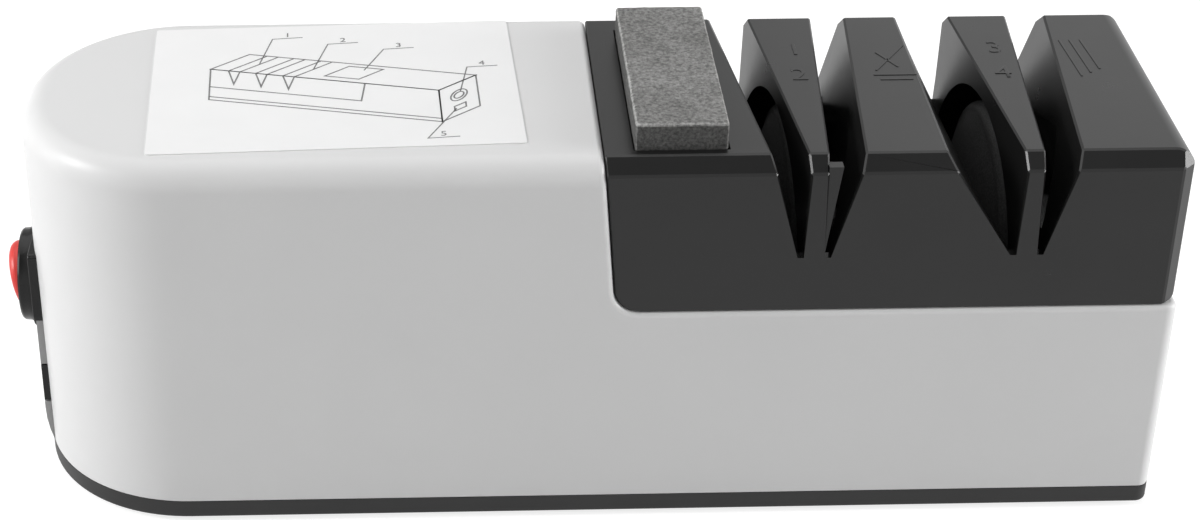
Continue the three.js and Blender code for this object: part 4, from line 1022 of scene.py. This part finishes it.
def wheel(node_name, steps=8):
    """Grinding wheel with a flat hub, domed flanks and a worn rim."""
    place = span(node_name)
    x = (place.low.x + place.high.x) / 2
    hub_half = (place.high.x - place.low.x) / 2
    near_rim = place.high.y - RIM_ROUND
    flank = []
    for i in range(steps + 1):
        travel = i / steps
        half = hub_half + (RIM_HALF - hub_half) * travel + FLANK_BULGE * 4 * travel * (1 - travel)
        flank.append((half, HUB_RADIUS + (near_rim - HUB_RADIUS) * travel))
    rim = []
    for i in range(1, steps + 1):
        angle = 0.25 * math.tau * i / steps
        rim.append((RIM_HALF - RIM_ROUND * (1 - math.cos(angle)), near_rim + RIM_ROUND * math.sin(angle)))
    right = [(hub_half, WHEEL_BORE), (hub_half, HUB_RADIUS - HUB_EDGE), *flank, *rim]
    profile = [(x + along, r) for along, r in right] + [(x - along, r) for along, r in reversed(right)]
    disc = lathe(f"{node_name}_disc", profile, "x", (0, SPINDLE_Z), 128, closed=True)
    dress(disc, GRIT, "rotor", [node_name])


# Whetstone
STONE_EDGE = 0.7
STONE_GRID = 0.7
STONE_WEAR = 0.09
STONE_SWELL = 0.07
# Frequency of the broad and the fine swell, and how strong the fine one is beside the broad one
BROAD_SWELL = 0.6
FINE_SWELL = 1.9
FINE_SWELL_SHARE = 0.6
FINE_SWELL_SHIFT = Vector((7, 3, 5))


def stone_block():
    """Sintered block with broken edges and an uneven skin."""
    low, high = STONE
    stone = block("stone_block", low, high)
    bevel(stone, STONE_EDGE, segments=3, sharpest=60)

    def wear(bm):
        for axis in range(3):
            direction = Vector([float(axis == k) for k in range(3)])
            count = int((high[axis] - low[axis]) / STONE_GRID)
            for i in range(1, count):
                at = Vector(low)
                at[axis] = low[axis] + (high[axis] - low[axis]) * i / count
                bmesh.ops.bisect_plane(
                    bm, geom=bm.verts[:] + bm.edges[:] + bm.faces[:], plane_co=at, plane_no=direction,
                )
        bm.normal_update()
        for vert in bm.verts:
            broad = noise.noise(vert.co * BROAD_SWELL)
            fine = noise.noise(vert.co * FINE_SWELL + FINE_SWELL_SHIFT)
            vert.co -= vert.normal * (STONE_WEAR + STONE_SWELL * (broad + FINE_SWELL_SHARE * fine))
    edit(stone, wear)
    dress(stone, STONE_GREY, "housing", ["whetstone"])


# Switch
COLLAR_PROUD = 0.5
COLLAR_CORNER = 1.0
COLLAR_EDGE = 0.3
COLLAR_ROOM = 9.0
SHELL_GAP = 0.05
# The bezel's lip: depth behind its face, and distance out from the rocker's hole
LIP_POINTS = ((0.5, 0.0), (0.12, 0.15), (0.0, 0.45), (0.1, 0.85), (0.5, 1.15))
BEZEL_SLOPE = 1.7
BEZEL_TAPER = 0.25
BEZEL_RIM = 2.1
BEZEL_EDGE = 0.15
BARREL_EDGE = 0.3
BARREL_STEP = 2.0
PIVOT_PLAY = 0.08
ROCKER_BACK_EDGE = 0.2
TAIL_LENGTH = 3.0
TAIL_LAP = 1.0
TAIL_HALF = (2.0, 1.2)
ROCKER_MARK_REACH = 3.4
ROCKER_MARK_WIDTH = 0.4
ROCKER_MARK_RELIEF = 0.08


def collar():
    """Plate behind the bezel that caps the top of the panel, with lips over the panel's side edges."""
    inside = PANEL_HALF + COLLAR_GAP
    out = inside + COLLAR_LIP
    low = SWITCH_Z - COLLAR_DROP
    high = PANEL.high.z + COLLAR_GAP + COLLAR_LIP
    across = out - HALF_WIDTH + ROUND_RADIUS
    shell_x = SHELL.low.x + ROUND_RADIUS - math.sqrt(ROUND_RADIUS ** 2 - across ** 2)
    outline = rounded_outline([
        (-out, low, COLLAR_ROUND), (out, low, COLLAR_ROUND),
        (out, high, COLLAR_CORNER), (-out, high, COLLAR_CORNER),
    ])
    plate = prism("collar", outline, "x", PANEL_FACE - COLLAR_PROUD, shell_x - SHELL_GAP)
    bevel(plate, COLLAR_EDGE, segments=3, sharpest=60, where=lambda at: at.x < PANEL_FACE)
    room = block(
        "panel_room", (PANEL_FACE, -inside, low - OVERRUN),
        (PANEL_FACE + COLLAR_ROOM, inside, high - COLLAR_LIP),
    )
    well = rod(
        "bezel_room", BEZEL_RADIUS - SUNK, "x", PANEL_FACE - OVERRUN, PANEL_FACE + OVERRUN,
        (0, SWITCH_Z), 96,
    )
    return cut(plate, room, well)


def switch_body():
    """Round bezel that narrows to its face, and the barrel behind it."""
    barrel_end = PANEL_FACE + BARREL_LENGTH
    profile = [
        (barrel_end - BARREL_STEP, ROCKER_HOLE - BARREL_EDGE),
        *[(BEZEL_FACE + depth, ROCKER_HOLE + out) for depth, out in LIP_POINTS],
        (BEZEL_FACE + BEZEL_SLOPE, BEZEL_RADIUS - BEZEL_TAPER), (BEZEL_FACE + BEZEL_RIM, BEZEL_RADIUS),
        (PANEL_FACE - BEZEL_EDGE, BEZEL_RADIUS), (PANEL_FACE, BEZEL_RADIUS - BEZEL_EDGE),
        (PANEL_FACE, BARREL_RADIUS), (barrel_end - BARREL_EDGE, BARREL_RADIUS),
        (barrel_end, BARREL_RADIUS - BARREL_EDGE),
    ]
    body = lathe("switch_body", profile, "x", (0, SWITCH_Z), 96)
    pivot_x = SWITCH.low.x + PIVOT_DEPTH
    cheeks = []
    for side in (-1, 1):
        near, far = sorted((side * (ROCKER_RADIUS + CHEEK_GAP), side * (ROCKER_HOLE + SUNK)))
        cheeks.append(block(
            "cheek", (BEZEL_FACE + SUNK, near, SWITCH_Z - CHEEK_HALF),
            (pivot_x + OVERRUN, far, SWITCH_Z + CHEEK_HALF),
        ))
    join(body, collar(), *cheeks)
    reach = PIVOT_REACH + PIVOT_PLAY
    cut(body, rod("pivot", PIVOT_RADIUS + PIVOT_PLAY, "y", -reach, reach, (pivot_x, SWITCH_Z), 24))
    dress(body, GLOSS, "housing", ["switch_housing"])


def rocker_button(steps=7):
    """Round button with a soft rim, on its pivot pins, tilted to its off position."""
    back = ROCKER_THICKNESS - ROCKER_STAND
    rim = []
    for i in range(steps + 1):
        angle = 0.25 * math.tau * i / steps
        rim.append((
            -ROCKER_STAND + ROCKER_EDGE * (1 - math.cos(angle)),
            ROCKER_RADIUS - ROCKER_EDGE * (1 - math.sin(angle)),
        ))
    rear = [(back - ROCKER_BACK_EDGE, ROCKER_RADIUS), (back, ROCKER_RADIUS - ROCKER_BACK_EDGE)]
    button = lathe("rocker_button", [*rim, *rear], "x", (0, 0), 96)
    half_y, half_z = TAIL_HALF
    join(
        button,
        rod("pins", PIVOT_RADIUS, "y", -PIVOT_REACH, PIVOT_REACH, (0, 0), 24),
        block("tail", (back - TAIL_LAP, -half_y, -half_z), (back + TAIL_LENGTH, half_y, half_z)),
    )
    low = ROCKER_STAND - MARK_SUNK
    high = ROCKER_STAND + ROCKER_MARK_RELIEF
    ring = circle(ROCKER_MARK, (-ROCKER_MARK_REACH, 0.0), 24)
    bar = [(ROCKER_MARK_REACH - ROCKER_MARK, 0.0), (ROCKER_MARK_REACH + ROCKER_MARK, 0.0)]
    marks = gather("rocker_marks", [
        stroke(ring, ROCKER_MARK_WIDTH, low, high, closed=True),
        stroke(bar, ROCKER_MARK_WIDTH, low, high),
    ])
    marks.data.transform(Matrix.Rotation(-math.pi / 2, 4, "Y"))
    turn = Matrix.Rotation(-ROCKER_TILT, 4, "Y")
    place = Matrix.Translation((SWITCH.low.x + PIVOT_DEPTH, 0, SWITCH_Z))
    for piece in (button, marks):
        piece.data.transform(place @ turn)
    dress(button, RED, "rocker", ["rocker"])
    dress(marks, PAINT, "rocker")


# Screws
# The head's dome: depth below its crown, and radius
DOME_POINTS = ((0.0, 1.3), (0.1, 1.7), (0.35, 2.05), (0.7, SCREW_HEAD))
HEAD_HEIGHT = 1.6
TIP_START = 0.9
TIP_RADIUS = 0.7
CROSS_REACH = 1.3
CROSS_HALF = 0.28
CROSS_DEPTH = 0.8


def cross_head_screw(name, length, head_down):
    """Screw with a low domed head, a cross recess, a shank and a blunt tip."""
    place = span(name)
    profile = [
        *DOME_POINTS, (HEAD_HEIGHT, SCREW_HEAD), (HEAD_HEIGHT, SCREW_RADIUS),
        (length + TIP_START, SCREW_RADIUS), (length + HEAD_HEIGHT, TIP_RADIUS),
    ]
    body = lathe(f"{name}_cross_head", profile, "z", (0, 0), 32)
    cut(
        body,
        block("cross", (-CROSS_REACH, -CROSS_HALF, -CUT_START), (CROSS_REACH, CROSS_HALF, CROSS_DEPTH)),
        block("cross", (-CROSS_HALF, -CROSS_REACH, -CUT_START), (CROSS_HALF, CROSS_REACH, CROSS_DEPTH)),
    )
    turn = Matrix.Identity(4) if head_down else Matrix.Rotation(math.pi, 4, "X")
    x = (place.low.x + place.high.x) / 2
    y = (place.low.y + place.high.y) / 2
    z = place.low.z if head_down else place.high.z
    body.data.transform(Matrix.Translation((x, y, z)) @ turn)
    dress(body, STEEL, "housing", [name])


def screws():
    """Every screw; those of the module and the base go in from below."""
    for prefix, length in SCREWS.items():
        head_down = prefix.endswith("module_screw") or prefix.endswith("base_screw")
        for number in (1, 2):
            cross_head_screw(f"{prefix}_{number}", length, head_down)


# Card
CARD_CORNER = 0.5
LEADER_WIDTH = 0.24
LEADER_DROP = Vector((0.0, -1.4))
LEADER_FOOT = Vector((6.0, 0.4))
CARD_NUMERAL_SIZE = 2.6
CARD_NUMERAL_SHIFT = Vector((3.0, 0.2))
# The drawn appliance is a long box: where it starts, and how far it reaches along, deep and down
DRAWING_START = Vector((-24.0, 8.0))
DRAWING_ALONG = Vector((44.0, -12.0))
DRAWING_DEEP = Vector((7.5, 6.0))
DRAWING_DOWN = Vector((0.0, -13.0))
# Places on it are shares of those three reaches
BOX_SHARES = (
    ((0, 0, 0), (1, 0, 0), (1, 1, 0), (0, 1, 0)),
    ((0, 0, 0), (1, 0, 0), (1, 0, 1), (0, 0, 1)),
    ((1, 0, 0), (1, 1, 0), (1, 1, 1), (1, 0, 1)),
)
PAD_SHARES = ((0.47, 0.2, 0), (0.62, 0.2, 0), (0.62, 0.85, 0), (0.47, 0.85, 0))
INLET_SHARES = ((1, 0.35, 0.7), (1, 0.65, 0.7), (1, 0.65, 0.84), (1, 0.35, 0.84))
SWITCH_SHARES = (1, 0.5, 0.4)
RING_SHARES = ((0.22, 0.16), (0.13, 0.09))
SEAM_SHARES = (
    ((0.68, 0, 0), (0.66, 0, 0.58), (0, 0, 0.58)),
    ((0, 0, 0.9), (1, 0, 0.9)),
)
SLIT_SHARES = (0.08, 0.2, 0.32)
SLIT_WIDTH_SHARE = 0.05
SLIT_FOOT_SHARES = (0.025, 0.42)
# The end of each leader on the drawing, in shares, and where its number stands on the card
LEADERS = (
    ((0.13, 0.5, 0), Vector((-12.0, 22.0))), ((0.37, 0.5, 0), Vector((-1.0, 19.0))),
    ((0.56, 0.7, 0), Vector((10.0, 16.0))), ((1, 0.55, 0.3), Vector((26.0, 7.0))),
    ((1, 0.4, 0.78), Vector((17.0, -22.0))),
)


def label_paper():
    """Card lying on the top, with rounded corners and its print."""
    turn = Matrix.Rotation(CARD_TURN, 4, "Z")
    centre = (CARD.low + CARD.high) / 2
    x, y = CARD_LENGTH / 2, CARD_WIDTH / 2
    outline = rounded_outline([
        (-x, -y, CARD_CORNER), (x, -y, CARD_CORNER), (x, y, CARD_CORNER), (-x, y, CARD_CORNER),
    ], steps=4)
    paper = prism("label_paper", outline, "z", CARD.low.z, CARD.high.z - INK_THICKNESS)
    lines = card_print()
    for piece in (paper, lines):
        piece.data.transform(Matrix.Translation((centre.x, centre.y, 0)) @ turn)
    dress(paper, PAPER, "housing", ["label_card"])
    dress(lines, INK, "housing")


def on_drawing(along, deep, down):
    """A place on the drawing, from its shares."""
    return DRAWING_START + DRAWING_ALONG * along + DRAWING_DEEP * deep + DRAWING_DOWN * down


def drawn_ring(across, tall, steps=20):
    """A ring about the drawn switch, as it looks on the slanted end of the box."""
    turns = [math.tau * i / steps for i in range(steps)]
    centre = on_drawing(*SWITCH_SHARES)
    return [
        centre + DRAWING_DEEP * (across * math.cos(t)) + DRAWING_DOWN * (tall * math.sin(t))
        for t in turns
    ]


def card_print():
    """Line drawing of a plain long appliance with numbered leaders, about the middle of the card."""
    loops = [[on_drawing(*place) for place in loop] for loop in (*BOX_SHARES, PAD_SHARES, INLET_SHARES)]
    loops += [drawn_ring(across, tall) for across, tall in RING_SHARES]
    paths = [[on_drawing(*place) for place in path] for path in SEAM_SHARES]
    foot_along, foot_down = SLIT_FOOT_SHARES
    for a in SLIT_SHARES:
        far = a + SLIT_WIDTH_SHARE
        paths.append([
            on_drawing(a, 0, 0), on_drawing(a + foot_along, 0, foot_down), on_drawing(far, 0, 0),
            on_drawing(far, 1, 0),
        ])
        paths.append([on_drawing(a, 1, 0), on_drawing(a, 0, 0)])
    low = CARD.high.z - INK_THICKNESS
    high = CARD.high.z
    pieces = [stroke(loop, INK_WIDTH, low, high, closed=True) for loop in loops]
    pieces += [stroke(path, INK_WIDTH, low, high) for path in paths]
    for number, (tip, place) in enumerate(LEADERS, start=1):
        foot = place + LEADER_DROP
        pieces.append(stroke([on_drawing(*tip), foot, foot + LEADER_FOOT], LEADER_WIDTH, low, high))
        pieces.append(numeral(str(number), CARD_NUMERAL_SIZE, place + CARD_NUMERAL_SHIFT, low, high))
    return gather("card_print", pieces)


housing_shell()
base_tray()
module_moulding()
wheel("coarse_wheel")
wheel("fine_wheel")
stone_block()
switch_body()
rocker_button()
screws()
label_paper()
module_marks()

# The CAD nodes that stay in sight get their finish, softened edges and smooth shading
NODE_EDGE = 0.15

for name, obj in frame["nodes"].items():
    if obj.hide_render:
        continue
    slot_name = obj.data.materials[0].name.split(".")[0]
    obj.data.materials[0] = DARK if name == "wheel_spacer" else FINISHES[slot_name]
    edges = obj.modifiers.new("edges", "BEVEL")
    edges.width = NODE_EDGE * MM
    edges.segments = 2
    edges.limit_method = "ANGLE"
    edges.angle_limit = math.radians(40)
    smooth(obj)


# Floor, light and camera, in metres
FLOOR_HALF = 6.0


def seen_directly(tree):
    """The light path, and a value that is 1 for rays from the camera or through glass."""
    path = node(tree, "ShaderNodeLightPath").outputs
    seen = node(tree, "ShaderNodeMath", {
        0: path["Is Camera Ray"], 1: path["Is Transmission Ray"],
    }, operation="MAXIMUM")
    return path, seen.outputs[0]


def floor():
    """Pale floor that looks white to the camera and keeps the shadow."""
    made = bpy.data.materials.new("floor")
    made.use_nodes = True
    tree = made.node_tree
    tree.nodes.clear()
    path, seen = seen_directly(tree)
    kind = node(tree, "ShaderNodeMath", {
        0: path["Is Glossy Ray"], 1: 0.5, 2: seen,
    }, operation="MULTIPLY_ADD")
    glow = ramp(tree, kind.outputs[0], (0.0, 0.0), (0.5, 0.76), (1.0, 0.79))
    light = node(tree, "ShaderNodeEmission", {"Color": glow, "Strength": 1.0})
    shade = ramp(tree, kind.outputs[0], (0.0, 0.74), (0.5, 0.20), (1.0, 0.42))
    matt = node(tree, "ShaderNodeBsdfDiffuse", {"Color": shade})
    both = node(tree, "ShaderNodeAddShader", {0: light.outputs[0], 1: matt.outputs[0]})
    node(tree, "ShaderNodeOutputMaterial", {"Surface": both.outputs[0]})
    corners = [(x * FLOOR_HALF, y * FLOOR_HALF, 0) for x, y in ((-1, -1), (1, -1), (1, 1), (-1, 1))]
    plane = new_object("floor", corners, [(0, 1, 2, 3)])
    plane.data.materials.append(made)


def world():
    """White for the camera, even light for matt surfaces, and for gloss a studio that dims overhead."""
    made = bpy.data.worlds.new("studio")
    bpy.context.scene.world = made
    made.use_nodes = True
    tree = made.node_tree
    tree.nodes.clear()
    path, seen = seen_directly(tree)
    direction = node(tree, "ShaderNodeTexCoord").outputs["Generated"]
    towards = node(
        tree, "ShaderNodeVectorMath", {0: direction, 1: (0.0, -0.5, 1.0)}, operation="DOT_PRODUCT",
    )
    overhead = node(tree, "ShaderNodeMapRange", {
        "Value": towards.outputs["Value"], "From Min": 0.7, "From Max": 1.05, "To Min": 1.0, "To Max": 0.3,
    })
    axes = node(tree, "ShaderNodeSeparateXYZ", {"Vector": direction}).outputs
    left = node(tree, "ShaderNodeMapRange", {
        "Value": axes["X"], "From Min": 0.06, "From Max": 0.16, "To Min": 0.5, "To Max": 0.0,
    })
    behind = node(tree, "ShaderNodeMapRange", {"Value": axes["Y"], "From Min": 0.3, "From Max": 0.8})
    dip = node(tree, "ShaderNodeMath", {
        0: left.outputs["Result"], 1: behind.outputs["Result"],
    }, operation="MULTIPLY")
    kept = node(tree, "ShaderNodeMath", {0: 1.0, 1: dip.outputs[0]}, operation="SUBTRACT")
    strength = node(tree, "ShaderNodeMath", {
        0: overhead.outputs["Result"], 1: kept.outputs[0],
    }, operation="MULTIPLY")
    full = (1, 1, 1, 1)
    mirrored = node(tree, "ShaderNodeBackground", {"Color": full, "Strength": strength.outputs[0]})
    even = node(tree, "ShaderNodeBackground", {"Color": full, "Strength": 0.36})
    white = node(tree, "ShaderNodeBackground", {"Color": full, "Strength": 1.0})
    glossy = node(tree, "ShaderNodeMixShader", {
        0: path["Is Glossy Ray"], 1: even.outputs[0], 2: mirrored.outputs[0],
    })
    final = node(tree, "ShaderNodeMixShader", {0: seen, 1: glossy.outputs[0], 2: white.outputs[0]})
    node(tree, "ShaderNodeOutputWorld", {"Surface": final.outputs[0]})


def lamp(name, place, aim, size, power):
    """A round lamp of a size and power, turned towards a point."""
    data = bpy.data.lights.new(name, "AREA")
    data.shape = "DISK"
    data.size = size
    data.energy = power
    obj = bpy.data.objects.new(name, data)
    obj.location = place
    obj.rotation_mode = "QUATERNION"
    obj.rotation_quaternion = (Vector(aim) - Vector(place)).to_track_quat("-Z", "Y")
    bpy.context.scene.collection.objects.link(obj)


def camera():
    """Camera solved from the straight edges of the body in the photograph."""
    place = Vector((-0.0308272, -0.4297026, 0.2969344))
    back = Vector((-0.023425, -0.858844, 0.511701)).normalized()
    right = Vector((0.999622, -0.027488, -0.000375))
    right = (right - back * right.dot(back)).normalized()
    turn = Matrix((right, back.cross(right), back)).transposed().to_4x4()
    data = bpy.data.cameras.new("camera")
    data.lens = 74.7256
    data.sensor_width = 36.0
    data.shift_x = 0.1001
    data.shift_y = -0.00375
    obj = bpy.data.objects.new("camera", data)
    obj.matrix_world = Matrix.Translation(place) @ turn
    bpy.context.scene.collection.objects.link(obj)
    bpy.context.scene.camera = obj


floor()
world()
lamp("key", place=(-0.20, 0.35, 0.95), aim=(0.0, 0.0, 0.06), size=1.2, power=2.6)
lamp("left", place=(-0.95, -0.12, 0.60), aim=(-0.05, 0.0, 0.04), size=0.4, power=6.4)
lamp("low_left", place=(-0.97, 0.06, 0.20), aim=(-0.05, 0.0, 0.04), size=0.4, power=1.1)
lamp("right", place=(0.95, -0.09, 0.26), aim=(0.05, 0.0, 0.04), size=0.5, power=6.5)
camera()
bpy.context.scene.view_settings.view_transform = "Standard"
